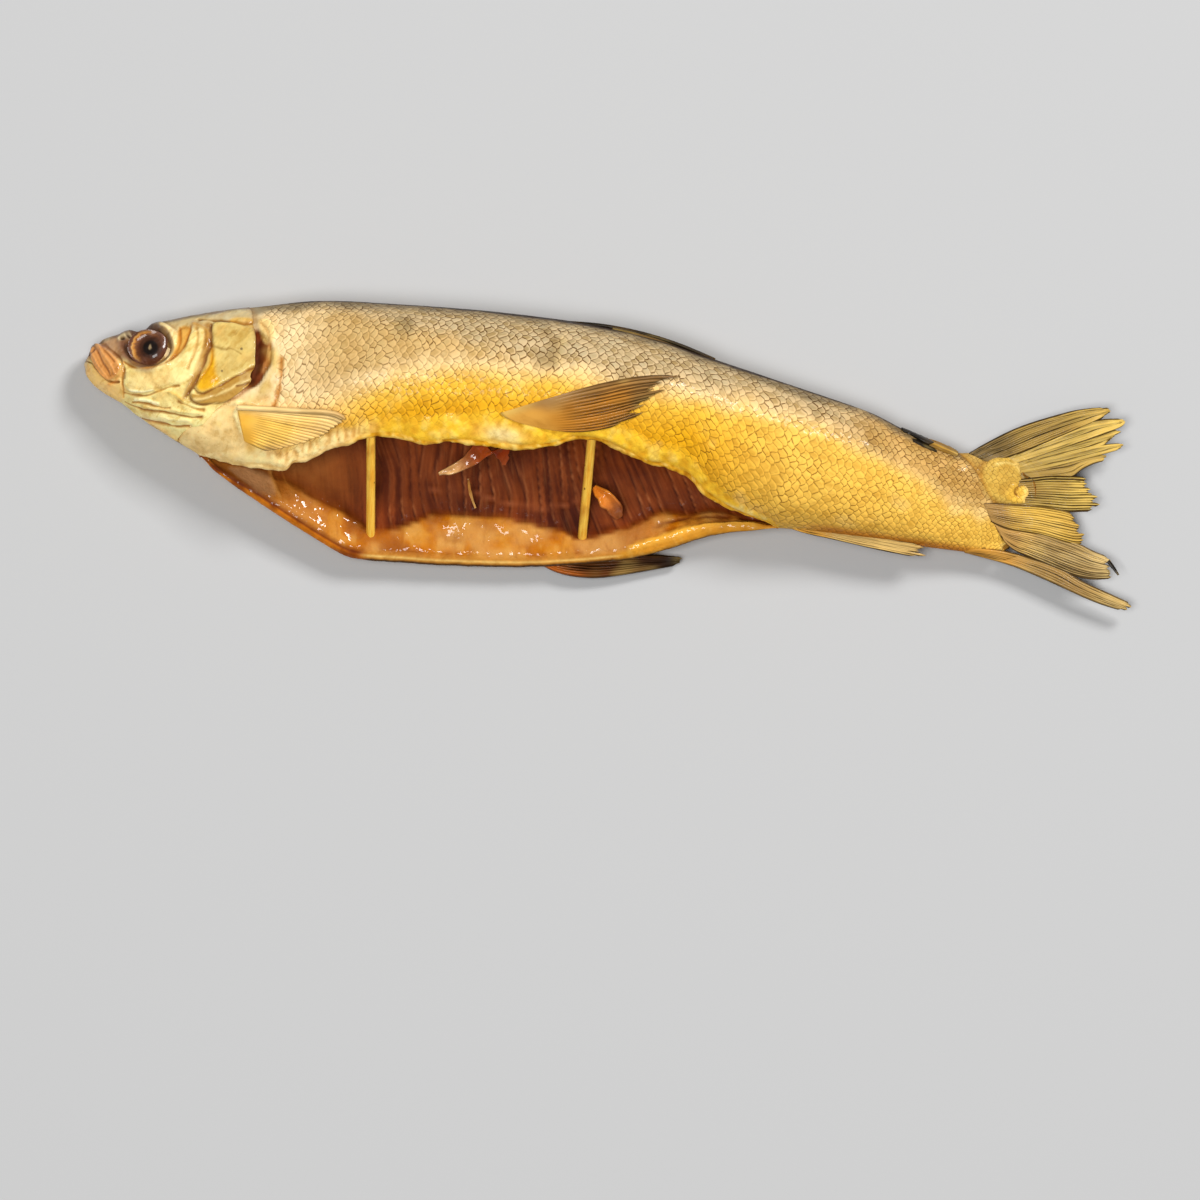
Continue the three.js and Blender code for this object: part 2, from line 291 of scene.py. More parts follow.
@dataclass
class Sheet:
    """A grid of points that becomes one piece: its places, its finish attributes and its pattern coordinates.

    Points are (columns + 1, rows + 1, 3) in millimetres. Tint is a colour for each point, mask three numbers
    for the material's use, and pattern the coordinates that the scales or rays follow.
    """

    name: str
    points: Array
    tint: Array
    mask: Array
    pattern: Array

    def build(self, close: bool) -> bpy.types.Object:
        """Make the piece from a grid primitive.

        Args:
            close: Join the grid's seams and fill its ends, for a shape that closes on itself.

        Returns:
            The piece, at the origin, with its place in its mesh.
        """
        columns, rows = self.points.shape[0] - 1, self.points.shape[1] - 1
        bpy.ops.object.select_all(action="DESELECT")
        bpy.ops.mesh.primitive_grid_add(x_subdivisions=columns, y_subdivisions=rows, size=2, location=(0, 0, 0))
        piece = bpy.context.active_object
        piece.name = piece.data.name = self.name
        mesh = piece.data
        flat = np.empty(len(mesh.vertices) * 3, np.float32)
        mesh.vertices.foreach_get("co", flat)
        flat = flat.reshape(-1, 3)
        i = np.rint((flat[:, 0] + 1) / 2 * columns).astype(int)
        j = np.rint((flat[:, 1] + 1) / 2 * rows).astype(int)
        mesh.vertices.foreach_set("co", (self.points[i, j] * MM).astype(np.float32).ravel())
        for name, values in (("tint", self.tint), ("mask", self.mask)):
            layer = mesh.color_attributes.new(name=name, type="FLOAT_COLOR", domain="POINT")
            four = np.ones((len(i), 4), np.float32)
            four[:, :3] = values[i, j]
            layer.data.foreach_set("color", four.ravel())
        corners = np.empty(len(mesh.loops), np.int32)
        mesh.loops.foreach_get("vertex_index", corners)
        pattern = self.pattern[i, j][corners].astype(np.float32)
        mesh.uv_layers[0].data.foreach_set("uv", pattern.ravel())
        mesh.update()
        if close:
            self._close(piece)
        bpy.ops.object.shade_smooth()
        return piece

    @staticmethod
    def _close(piece: bpy.types.Object) -> None:
        """Join the seams, fill the open ends and turn every face outwards.

        Args:
            piece: The piece.
        """
        select_only(piece)
        bpy.ops.object.mode_set(mode="EDIT")
        bpy.ops.mesh.select_all(action="SELECT")
        bpy.ops.mesh.remove_doubles(threshold=SEAM_GAP)
        bpy.ops.mesh.select_all(action="DESELECT")
        bpy.ops.mesh.select_non_manifold(
            extend=False, use_wire=False, use_multi_face=False, use_non_contiguous=False
        )
        bpy.ops.mesh.fill_holes(sides=0)
        bpy.ops.object.mode_set(mode="OBJECT")
        face_outwards(piece)


def face_outwards(piece: bpy.types.Object) -> None:
    """Turn every face of a closed piece outwards.

    Args:
        piece: The piece.
    """
    select_only(piece)
    bpy.ops.object.mode_set(mode="EDIT")
    bpy.ops.mesh.select_all(action="SELECT")
    bpy.ops.mesh.normals_make_consistent(inside=False)
    bpy.ops.object.mode_set(mode="OBJECT")


def thicken(piece: bpy.types.Object, thickness: float) -> None:
    """Give a single-walled piece its thickness in millimetres, half to each side.

    Args:
        piece: The piece.
        thickness: Its thickness.
    """
    select_only(piece)
    bpy.ops.object.modifier_add(type="SOLIDIFY")
    wall = piece.modifiers[-1]
    wall.thickness = thickness * MM
    wall.offset = 0
    bpy.ops.object.modifier_apply(modifier=wall.name)
    face_outwards(piece)


def surface_normals(points: Array) -> Array:
    """The unit normals of a grid of points.

    Args:
        points: The points, (columns, rows, 3).

    Returns:
        The normals, of the same shape.
    """
    across = np.gradient(points, axis=0)
    along = np.gradient(points, axis=1)
    normal = np.cross(across, along)
    return normal / np.maximum(np.linalg.norm(normal, axis=2, keepdims=True), 1e-9)


def painted_relief_shading(tint: Array, height: Array, strength: float) -> Array:
    """Colours with painted shade in the hollows of a surface, deeper and warmer there, and a painted highlight,
    paler, on its crests.

    Args:
        tint: The colours, (columns, rows, 3).
        height: The surface's relief in millimetres, (columns, rows).
        strength: How much the relief changes the colours.

    Returns:
        The changed colours.
    """
    smoothings, lowest, highest = 24, -0.3, 0.05
    darkening = np.array([0.7, 1.15, 1.9])
    level = height
    for _ in range(smoothings):
        level = (2 * level + sum(np.roll(level, step, axis) for step in (1, -1) for axis in (0, 1))) / 6
    lift = np.clip(height - level, lowest, highest)[..., None]
    return np.clip(tint * np.exp(darkening * lift * strength), 0, 1)


def finish_piece(piece: bpy.types.Object, finish: Finish, node: str) -> None:
    """Dress a piece, put it on the frame and let it stand for its CAD node.

    Args:
        piece: The piece.
        finish: Its finish.
        node: The node that it stands for.
    """
    piece.data.materials.clear()
    piece.data.materials.append(finish.material())
    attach(piece, "root")
    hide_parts(node)
    triangles = sum(len(p.vertices) - 2 for p in piece.data.polygons)
    LOG.info("%s: %d triangles, %s", piece.name, triangles, finish.name)


# ---- paint and relief


@dataclass(frozen=True)
class Plate:
    """A patch of skin or bone with its own height and colour, inside a closed outline."""

    outline: tuple[Point, ...]
    rise: float
    colour: Colour | None = None
    soft: float = 0.5
    strength: float = 1.0
    gloss: float = 0.0


@dataclass(frozen=True)
class Fold:
    """A ridge, or with a negative rise a groove, along a path."""

    path: tuple[Point, ...]
    width: float
    rise: float
    colour: Colour | None = None
    strength: float = 1.0


class Skin:
    """The height and colour of a surface while its patches and folds are laid on it."""

    waver = 0.35
    waver_size = 3.6

    def __init__(self, x: Array, y: Array, base: Colour) -> None:
        """Start with a level surface of one colour over the points (x, y).

        Args:
            x: The points' x.
            y: Their y.
            base: The colour.
        """
        self.x = x + self.waver * Grain(self.waver_size, 301, 2)(x, y)
        self.y = y + self.waver * Grain(self.waver_size, 302, 2)(x, y)
        self.vary = 1 + 0.6 * Grain(3.2, 303)(x, y)
        self.height = np.zeros(x.shape)
        self.tint = np.broadcast_to(np.array(base), x.shape + (3,)).copy()
        self.gloss = np.zeros(x.shape)

    def wash(self, mask: Array, colour: Colour) -> None:
        """Lay a colour on as strongly as the mask says."""
        m = np.clip(mask, 0, 1)[..., None]
        self.tint = self.tint * (1 - m) + np.array(colour) * m

    def _near(self, path: Array, reach: float) -> Array:
        """Which points are in the path's box, grown by reach."""
        low, high = path.min(axis=0) - reach, path.max(axis=0) + reach
        return (self.x > low[0]) & (self.x < high[0]) & (self.y > low[1]) & (self.y < high[1])

    def lay(self, features: Sequence[Plate | Fold]) -> None:
        """Lay patches and folds on, in their order."""
        for feature in features:
            (self._plate if isinstance(feature, Plate) else self._fold)(feature)

    def _plate(self, plate: Plate) -> None:
        """Lay a patch on.

        Args:
            plate: The patch.
        """
        outline = rounded(plate.outline, True)
        near = self._near(outline, 4 * plate.soft)
        depth = np.full(self.x.shape, -99.0)
        depth[near] = depth_inside(self.x[near], self.y[near], outline)
        self.height += plate.rise * ease(-plate.soft, plate.soft, depth)
        if plate.colour is not None:
            self.wash(plate.strength * ease(-plate.soft, plate.soft, depth), plate.colour)
        self.gloss += plate.gloss * ease(-plate.soft, plate.soft, depth)

    def _fold(self, fold: Fold) -> None:
        """Lay a ridge or groove on.

        Args:
            fold: The ridge or groove.
        """
        path = rounded(fold.path, False)
        near = self._near(path, 4 * fold.width)
        distance = np.full(self.x.shape, 99.0)
        distance[near] = path_distance(self.x[near], self.y[near], path, False)
        shape = bell(distance, fold.width * self.vary) * np.clip(self.vary, 0.3, 1)
        self.height += fold.rise * shape
        if fold.colour is not None:
            self.wash(fold.strength * shape, fold.colour)


# ---- materials


class Socket:
    """An output of a material's node that takes part in Python expressions."""

    def __init__(self, nodes: Nodes, out: bpy.types.NodeSocket) -> None:
        """Wrap one output."""
        self.nodes, self.out = nodes, out

    def __add__(self, other: Any) -> Socket:
        """Sum."""
        return self.nodes.math("ADD", self, other)

    __radd__ = __add__

    def __mul__(self, other: Any) -> Socket:
        """Product."""
        return self.nodes.math("MULTIPLY", self, other)

    __rmul__ = __mul__

    def __sub__(self, other: Any) -> Socket:
        """Difference."""
        return self.nodes.math("SUBTRACT", self, other)

    def __rsub__(self, other: Any) -> Socket:
        """Difference, from a number."""
        return self.nodes.math("SUBTRACT", other, self)

    def least(self, other: Any) -> Socket:
        """The smaller of two."""
        return self.nodes.math("MINIMUM", self, other)

    def most(self, other: Any) -> Socket:
        """The larger of two."""
        return self.nodes.math("MAXIMUM", self, other)

    def rounded(self) -> Socket:
        """The nearest whole number."""
        return self.nodes.math("ROUND", self)

    def ceiling(self) -> Socket:
        """The next whole number."""
        return self.nodes.math("CEIL", self)

    def fraction(self) -> Socket:
        """What is left above the whole number."""
        return self.nodes.math("FRACT", self)

    def size(self) -> Socket:
        """The value without its sign."""
        return self.nodes.math("ABSOLUTE", self)

    def root(self) -> Socket:
        """The square root, 0 below 0."""
        return self.nodes.math("SQRT", self.most(0.0))

    def below(self, other: Any) -> Socket:
        """1 where this is less than the other, or else 0."""
        return self.nodes.math("LESS_THAN", self, other)

    def eased(self, low: Any, high: Any) -> Socket:
        """0 below low, 1 above high, and a smooth rise between them.

        Args:
            low: Where the rise begins.
            high: Where it ends.

        Returns:
            The eased value.
        """
        node = self.nodes.add(
            "ShaderNodeMapRange",
            {"interpolation_type": "SMOOTHSTEP"},
            {"Value": self, "From Min": low, "From Max": high},
        )
        return Socket(self.nodes, node.outputs["Result"])


class Nodes:
    """The nodes of one material."""

    def __init__(self, name: str) -> None:
        """Start a material with its surface shader.

        Args:
            name: The material's name.
        """
        self.material = bpy.data.materials.new(name)
        self.material.use_nodes = True
        self.tree = self.material.node_tree
        self.shader = self.tree.nodes["Principled BSDF"]

    def add(self, kind: str, settings: dict[str, Any], inputs: dict[Any, Any]) -> bpy.types.Node:
        """Add a node.

        Args:
            kind: The node's type.
            settings: The node's own settings, set first.
            inputs: A value or a socket for each input, by its name or number.

        Returns:
            The node.
        """
        node = self.tree.nodes.new(kind)
        for name, value in settings.items():
            setattr(node, name, value)
        for name, value in inputs.items():
            self.put(node.inputs[name], value)
        return node

    def put(self, target: bpy.types.NodeSocket, value: Any) -> None:
        """Set an input to a value, or link it to a socket.

        Args:
            target: The input.
            value: The value or socket.
        """
        if isinstance(value, Socket):
            self.tree.links.new(value.out, target)
        elif isinstance(value, tuple) and len(value) == 3 and target.type == "RGBA":
            target.default_value = (*value, 1.0)
        else:
            target.default_value = value

    def math(self, operation: str, *values: Any) -> Socket:
        """A Math node on sockets and numbers."""
        node = self.add("ShaderNodeMath", {"operation": operation}, dict(enumerate(values)))
        return Socket(self, node.outputs[0])

    def attribute(self, name: str) -> Socket:
        """A colour that is stored on the mesh."""
        node = self.add("ShaderNodeAttribute", {"attribute_name": name}, {})
        return Socket(self, node.outputs["Color"])

    def place(self) -> Socket:
        """The place in the object, in metres."""
        return Socket(self, self.add("ShaderNodeTexCoord", {}, {}).outputs["Object"])

    def pattern(self) -> Socket:
        """The piece's own pattern coordinates."""
        return Socket(self, self.add("ShaderNodeTexCoord", {}, {}).outputs["UV"])

    def parts(self, vector: Socket) -> tuple[Socket, Socket, Socket]:
        """The three numbers of a vector or colour."""
        node = self.add("ShaderNodeSeparateXYZ", {}, {0: vector})
        return tuple(Socket(self, out) for out in node.outputs)

    def join(self, x: Any, y: Any, z: Any) -> Socket:
        """A vector from three numbers."""
        return Socket(self, self.add("ShaderNodeCombineXYZ", {}, {0: x, 1: y, 2: z}).outputs[0])

    def stretch(self, vector: Socket, scale: tuple[float, float, float], turn: float = 0.0) -> Socket:
        """A vector turned about Z by some degrees and then scaled.

        Args:
            vector: The vector.
            scale: The scale along each axis.
            turn: The degrees.

        Returns:
            The new vector.
        """
        turned = self.add(
            "ShaderNodeVectorRotate",
            {"rotation_type": "Z_AXIS"},
            {"Vector": vector, "Angle": math.radians(turn)},
        )
        node = self.add(
            "ShaderNodeVectorMath",
            {"operation": "MULTIPLY"},
            {0: Socket(self, turned.outputs[0]), 1: scale},
        )
        return Socket(self, node.outputs[0])

    def noise(self, vector: Socket, scale: float, detail: float = 3.0, rough: float = 0.5) -> Socket:
        """Soft noise of 0 to 1.

        Args:
            vector: The place.
            scale: How fine it is.
            detail: How many finer layers it has.
            rough: How strong they are.

        Returns:
            The noise.
        """
        node = self.add(
            "ShaderNodeTexNoise",
            {"noise_dimensions": "3D"},
            {"Vector": vector, "Scale": scale, "Detail": detail, "Roughness": rough},
        )
        return Socket(self, node.outputs[0])

    def cells(self, vector: Socket, scale: float, feature: str = "F1") -> Socket:
        """Distance in a pattern of random cells."""
        node = self.add("ShaderNodeTexVoronoi", {"feature": feature}, {"Vector": vector, "Scale": scale})
        return Socket(self, node.outputs["Distance"])

    def chance(self, vector: Socket) -> Socket:
        """A random number of 0 to 1 for each value of a vector."""
        node = self.add("ShaderNodeTexWhiteNoise", {"noise_dimensions": "3D"}, {"Vector": vector})
        return Socket(self, node.outputs["Value"])

    def blend(self, factor: Any, first: Any, second: Any, mode: str = "MIX") -> Socket:
        """Two colours mixed or multiplied.

        Args:
            factor: The share of the second.
            first: The first colour.
            second: The second.
            mode: How they blend.

        Returns:
            The blend.
        """
        node = self.add("ShaderNodeMix", {"data_type": "RGBA", "blend_type": mode}, {})
        self.put(node.inputs[0], factor)
        self.put(node.inputs[6], first)
        self.put(node.inputs[7], second)
        return Socket(self, node.outputs[2])

    def tinted(self, colour: Socket, factors: Any) -> Socket:
        """A colour multiplied by another."""
        return self.blend(1.0, colour, factors, "MULTIPLY")

    def layers(self, colour: Socket, *layers: tuple[Any, Any]) -> Socket:
        """A colour with others laid over it, each with its own strength, in order.

        Args:
            colour: The lowest colour.
            layers: The strength and colour of each layer.

        Returns:
            The colour on top.
        """
        for strength, over in layers:
            colour = self.blend(strength, colour, over)
        return colour

    def bump(self, height: Socket, depth: float, strength: float = 1.0) -> Socket:
        """A surface normal from a height, which is depth millimetres at 1."""
        node = self.add("ShaderNodeBump", {}, {"Height": height, "Distance": depth * MM, "Strength": strength})
        return Socket(self, node.outputs["Normal"])

    def surface(self, **inputs: Any) -> bpy.types.Material:
        """Set the shader's inputs, whose names have underscores for spaces, and give back the material.

        Args:
            inputs: A value or socket for each input.

        Returns:
            The material.
        """
        for name, value in inputs.items():
            self.put(self.shader.inputs[name.replace("_", " ")], value)
        return self.material


@dataclass(frozen=True)
class Finish:
    """A named surface finish that makes its own material."""

    name: str
    slot: str

    def material(self) -> bpy.types.Material:
        """The finish's material, made once."""
        return bpy.data.materials.get(self.name) or self.make(Nodes(self.name))

    def make(self, nodes: Nodes) -> bpy.types.Material:
        """Build the material's nodes."""
        raise NotImplementedError


@dataclass(frozen=True)
class ScaledSkin(Finish):
    """Smoked skin under overlapping scales, wet flesh inside the belly.

    Mask holds how clear the scales are, how wet the surface is, and how strongly muscle lines show.
    """

    row_height: float = 0.72
    reach: float = 0.70
    lead: float = 0.30
    line: float = 0.06

    def scales(self, nodes: Nodes) -> tuple[Socket, Socket, Socket]:
        """The scale that shows at each point: overlapping discs in staggered rows, none quite in its place.

        Args:
            nodes: The new material.

        Returns:
            The distance from its visible edge in scale lengths, its rise towards the tail, and its own number.
        """
        u, v, _ = nodes.parts(nodes.pattern())
        plane = nodes.join(u, v, 0.0)
        slow = nodes.add("ShaderNodeTexNoise", {}, {"Vector": plane, "Scale": 0.4, "Detail": 1.0})
        red, green, _ = nodes.parts(Socket(nodes, slow.outputs["Color"]))
        u = u + (red - 0.5) * 1.3
        v = v + (green - 0.5) * 1.2
        best, second, shown = None, None, ()
        for parity in (0.0, 1.0):
            row = ((v - parity) * 0.5).rounded() * 2.0 + parity
            for step in (0.0, -1.0):
                column = (u - 0.5 * parity).ceiling() + step + 0.5 * parity
                own = nodes.add(
                    "ShaderNodeTexWhiteNoise",
                    {"noise_dimensions": "3D"},
                    {"Vector": nodes.join(column, row, 0.5)},
                )
                shift, lift, chance = nodes.parts(Socket(nodes, own.outputs["Color"]))
                along = u - column - (shift - 0.5) * 0.20
                across = (v - row) * self.row_height - (lift - 0.5) * 0.20
                far = (along * along + across * across).root()
                score = far * far - along * (2.0 * self.lead) + (1.0 - far.below(self.reach)) * 4.0
                if best is None:
                    best, shown = score, (far, along, chance)
                    continue
                nearer = score.below(best)
                later = best.most(score)
                second = later if second is None else second.least(later)
                best = best.least(score)
                shown = tuple(old + (new - old) * nearer for old, new in zip(shown, (far, along, chance)))
        far, along, chance = shown
        inset = (self.reach - far).least((second - best) * 0.5)
        return inset, along.eased(-0.5, 0.7), chance

    def make(self, nodes: Nodes) -> bpy.types.Material:
        """Build the material's nodes.

        Args:
            nodes: The new material.

        Returns:
            The material.
        """
        tint = nodes.attribute("tint")
        clear, wet, lines = nodes.parts(nodes.attribute("mask"))
        place = nodes.place()
        inset, rise, chance = self.scales(nodes)
        mottle = nodes.noise(place, 55.0, 4.0, 0.6)
        fine = nodes.noise(place, 700.0, 2.0)
        patch = nodes.noise(place, 150.0, 3.0, 0.6)
        edge = (1.0 - inset.eased(self.line * 0.45, self.line * 1.25)) * clear
        crown = inset.eased(0.03, 0.34) * clear
        # Painted highlight: a pale ring just inside each scale's visible edge.
        rim_highlight = inset.eased(0.06, 0.13) * (1.0 - inset.eased(0.15, 0.30)) * clear
        slant, low, _ = nodes.parts(nodes.pattern())
        streak = nodes.noise(nodes.join(slant * 0.8, low * 0.07, 0.0), 1.0, 4.0, 0.65)
        rows = nodes.noise(nodes.join(slant * 0.09, low * 0.75, 0.0), 1.0, 2.0)
        lumps = nodes.noise(place, 880.0, 3.0, 0.5)
        speck = nodes.cells(place, 85.0).below(0.07) * nodes.noise(place, 30.0).eased(0.5, 0.62) * (1.0 - wet)
        deep = nodes.tinted(tint, (0.70, 0.58, 0.38))
        pale = nodes.tinted(tint, (1.22, 1.14, 1.08))
        shade = nodes.layers(
            tint,
            (patch.eased(0.60, 0.32) * 0.65 * (1.0 - wet), deep),
            (mottle.eased(0.5, 0.75) * 0.5 * (1.0 - wet), pale),
            (clear * chance.eased(0.5, 0.0) * 0.75, deep),
            (clear * chance.eased(0.5, 1.0) * 0.75, pale),
        )
        shade = nodes.layers(
            shade,
            (clear * rows.eased(0.52, 0.68) * 0.6, deep),
            (clear * rows.eased(0.48, 0.34) * 0.5, pale),
            # Painted highlight inside each scale's edge, stronger towards the tail, and painted shade on the
            # front of its visible part, behind the edge of the scale ahead.
            (rim_highlight * rise * 0.9, pale),
            (clear * rise.eased(0.35, 0.0) * 0.5, deep),
        )
        bare = (1.0 - clear) * (1.0 - wet) * (1.0 - lines.eased(0.0, 0.3))
        crease = nodes.noise(nodes.stretch(place, (360.0, 190.0, 260.0), 30.0), 1.0, 5.0, 0.62)
        # Painted highlight on the ridges of the bare skin's creases and painted shade in their troughs; the
        # creases are bumps too.
        shade = nodes.blend(bare * crease.eased(0.50, 0.62) * 0.6, shade, pale)
        shade = nodes.blend(bare * crease.eased(0.47, 0.36) * 0.7, shade, deep)
        dark = nodes.tinted(shade, (0.26, 0.16, 0.07))
        shade = nodes.blend(edge * (0.34 + 0.9 * patch.eased(0.32, 0.66)), shade, dark)
        shade = nodes.blend(lines * streak.eased(0.48, 0.70) * 0.5, shade, nodes.tinted(shade, shade))
        shade = nodes.blend(lines * streak.eased(0.46, 0.30) * 0.3, shade, (0.40, 0.16, 0.05))
        shade = nodes.blend(speck * 0.9, shade, (0.02, 0.012, 0.008))
        film = nodes.noise(place, 760.0, 3.0).eased(0.52, 0.60)
        height = crease * bare * 0.9 + crown * 0.45 + rise * clear * 0.35 + fine * 0.1
        height = height + patch * 0.6 + lumps * wet * 1.1 + streak * lines * 0.15
        return nodes.surface(
            Base_Color=shade,
            Roughness=0.5 + 0.12 * mottle - 0.20 * wet,
            Coat_Weight=(wet * film).least(1.0),
            Coat_Roughness=0.06,
            Specular_IOR_Level=0.06,
            Normal=nodes.bump(height, 0.42),
        )


@dataclass(frozen=True)
class BonySkin(Finish):
    """Bare glossy skin over the bones of the head."""

    def make(self, nodes: Nodes) -> bpy.types.Material:
        """Build the material's nodes.

        Args:
            nodes: The new material.

        Returns:
            The material.
        """
        tint = nodes.attribute("tint")
        wet, freckled, _ = nodes.parts(nodes.attribute("mask"))
        place = nodes.place()
        mottle = nodes.noise(place, 120.0, 5.0, 0.62)
        fine = nodes.noise(place, 650.0, 3.0)
        veins = nodes.noise(nodes.stretch(place, (160.0, 420.0, 200.0), 25.0), 1.0, 3.0)
        wrinkle = nodes.noise(nodes.stretch(place, (520.0, 170.0, 300.0), 35.0), 1.0, 4.0, 0.6)
        freckle = nodes.cells(place, 420.0).below(0.2) * nodes.noise(place, 110.0).eased(0.5, 0.6) * freckled
        film = nodes.noise(place, 240.0, 3.0).eased(0.36, 0.58)
        deep = nodes.tinted(tint, (0.66, 0.48, 0.18))
        pale = nodes.tinted(tint, (1.18, 1.10, 1.02))
        shade = nodes.layers(
            tint,
            (mottle.eased(0.45, 0.75) * 0.7, deep),
            # Painted highlight on the wrinkles' crests and painted shade in their troughs; the wrinkles are
            # bumps too.
            (wrinkle.eased(0.52, 0.66) * 0.5, pale),
            (wrinkle.eased(0.46, 0.36) * 0.45, deep),
            (veins.eased(0.55, 0.8) * 0.4, pale),
            (freckle * 0.75, (0.09, 0.055, 0.03)),
        )
        return nodes.surface(
            Base_Color=shade,
            Roughness=0.44 + 0.12 * mottle - 0.15 * wet,
            Coat_Weight=((0.15 + 0.9 * wet) * film).least(1.0),
            Coat_Roughness=0.07,
            Specular_IOR_Level=0.08,
            Normal=nodes.bump(mottle * 0.7 + fine * 0.25 + veins * 0.5 + wrinkle * 1.0, 0.5),
        )


@dataclass(frozen=True)
class RayedFin(Finish):
    """Dry fin skin over jointed rays; the pattern counts the rays across it and millimetres along them."""

    def make(self, nodes: Nodes) -> bpy.types.Material:
        """Build the material's nodes.

        Args:
            nodes: The new material.

        Returns:
            The material.
        """
        tint = nodes.attribute("tint")
        ray_light, dark_line, _ = nodes.parts(nodes.attribute("mask"))
        across, along, _ = nodes.parts(nodes.pattern())
        place = nodes.place()
        wander = nodes.noise(nodes.join(across * 0.8, along * 0.07, 0.0), 1.0, 2.0) - 0.5
        shifted = across + wander * 0.9
        number = nodes.chance(nodes.join((shifted - 0.5).rounded(), 3.0, 0.0))
        gap = nodes.chance(nodes.join(shifted.rounded(), 7.0, 0.0))
        ridge = ((shifted.fraction() - 0.5).size() * 2.0).eased(0.62 * gap - 0.1, 0.62 * gap + 0.35)
        branch = (((shifted * 2.0).fraction() - 0.5).size() * 2.0).eased(0.1, 0.8)
        joint = ((along * 0.8).fraction() - 0.5).size().eased(0.40, 0.5)
        mottle = nodes.noise(nodes.stretch(place, (90.0, 200.0, 90.0)), 1.0, 4.0, 0.6)
        deep = nodes.tinted(tint, (0.16, 0.11, 0.05))
        pale = nodes.tinted(tint, (1.45, 1.40, 1.30))
        worn = nodes.tinted(tint, (0.66, 0.58, 0.42))
        shade = nodes.layers(
            tint,
            (mottle.eased(0.45, 0.8) * 0.7, worn),
            (ridge * ray_light * number, pale),
            ((1.0 - branch) * 0.3 * dark_line * (1.0 - number), deep),
            ((1.0 - ridge) * dark_line * 0.95, deep),
        )
        height = (ridge * 0.8 + branch * 0.3) * dark_line + joint * 0.02 + mottle * 0.3
        return nodes.surface(
            Base_Color=shade,
            Roughness=0.36 + 0.2 * mottle,
            Coat_Weight=0.10,
            Coat_Roughness=0.12,
            Specular_IOR_Level=0.08,
            Normal=nodes.bump(height, 0.5),
        )


@dataclass(frozen=True)
class ClearEye(Finish):
    """The wet eye, its ring and pupil under a clear front."""

    def make(self, nodes: Nodes) -> bpy.types.Material:
        """Build the material's nodes.

        Args:
            nodes: The new material.

        Returns:
            The material.
        """
        place = nodes.place()
        mottle = nodes.noise(place, 420.0, 4.0)
        tint = nodes.attribute("tint")
        shade = nodes.blend(mottle.eased(0.4, 0.8) * 0.5, tint, nodes.tinted(tint, tint))
        return nodes.surface(
            Base_Color=shade,
            Roughness=0.4 + 0.1 * mottle,
            Coat_Weight=0.45,
            Coat_Roughness=0.05,
            Specular_IOR_Level=0.15,
            Normal=nodes.bump(mottle, 0.6),
        )


@dataclass(frozen=True)
class SmokedWood(Finish):
    """Split and rounded stick wood, golden from the smoke, its grain along the stick."""

    def make(self, nodes: Nodes) -> bpy.types.Material:
        """Build the material's nodes.

        Args:
            nodes: The new material.

        Returns:
            The material.
        """
        across, along, _ = nodes.parts(nodes.pattern())
        grain = nodes.noise(nodes.join(across * 14.0, along * 0.09, 0.0), 1.0, 5.0, 0.65)
        fibre = nodes.noise(nodes.join(across * 60.0, along * 0.25, 2.0), 1.0, 3.0)
        stain = nodes.noise(nodes.join(across * 1.5, along * 0.12, 5.0), 1.0, 3.0)
        fleck = nodes.cells(nodes.join(across * 3.0, along * 0.22, 0.0), 1.0).below(0.10)
        shade = nodes.blend(grain.eased(0.35, 0.7), rgb(255, 208, 84), rgb(238, 162, 36))
        shade = nodes.layers(
            shade,
            (stain.eased(0.5, 0.75) * 0.5, rgb(176, 102, 26)),
            (fibre.eased(0.6, 0.8) * 0.3, rgb(252, 220, 150)),
            (fleck * 0.8, rgb(96, 52, 18)),
        )
        return nodes.surface(
            Base_Color=shade,
            Roughness=0.38 + 0.2 * grain,
            Coat_Weight=0.2,
            Coat_Roughness=0.2,
            Specular_IOR_Level=0.15,
            Normal=nodes.bump(grain * 0.7 + fibre * 0.5, 0.12),
        )


@dataclass(frozen=True)
class PaleFloor(Finish):
    """A plain pale grey floor."""

    def make(self, nodes: Nodes) -> bpy.types.Material:
        """Build the material's nodes."""
        return nodes.surface(Base_Color=(0.50, 0.50, 0.50), Roughness=0.85, Specular_IOR_Level=0.1)


SKIN = ScaledSkin("scaled_skin", "smoked_skin")
HEAD_SKIN = BonySkin("head_skin", "smoked_skin")
MEMBRANE = BonySkin("wet_membrane", "belly_lining")
FIN_SKIN = RayedFin("rayed_fin", "fin_membrane")
EYE = ClearEye("clear_eye", "eye")
WOOD = SmokedWood("smoked_wood", "stick_wood")
FLOOR = PaleFloor("pale_floor", "")


# ---- the body's shape


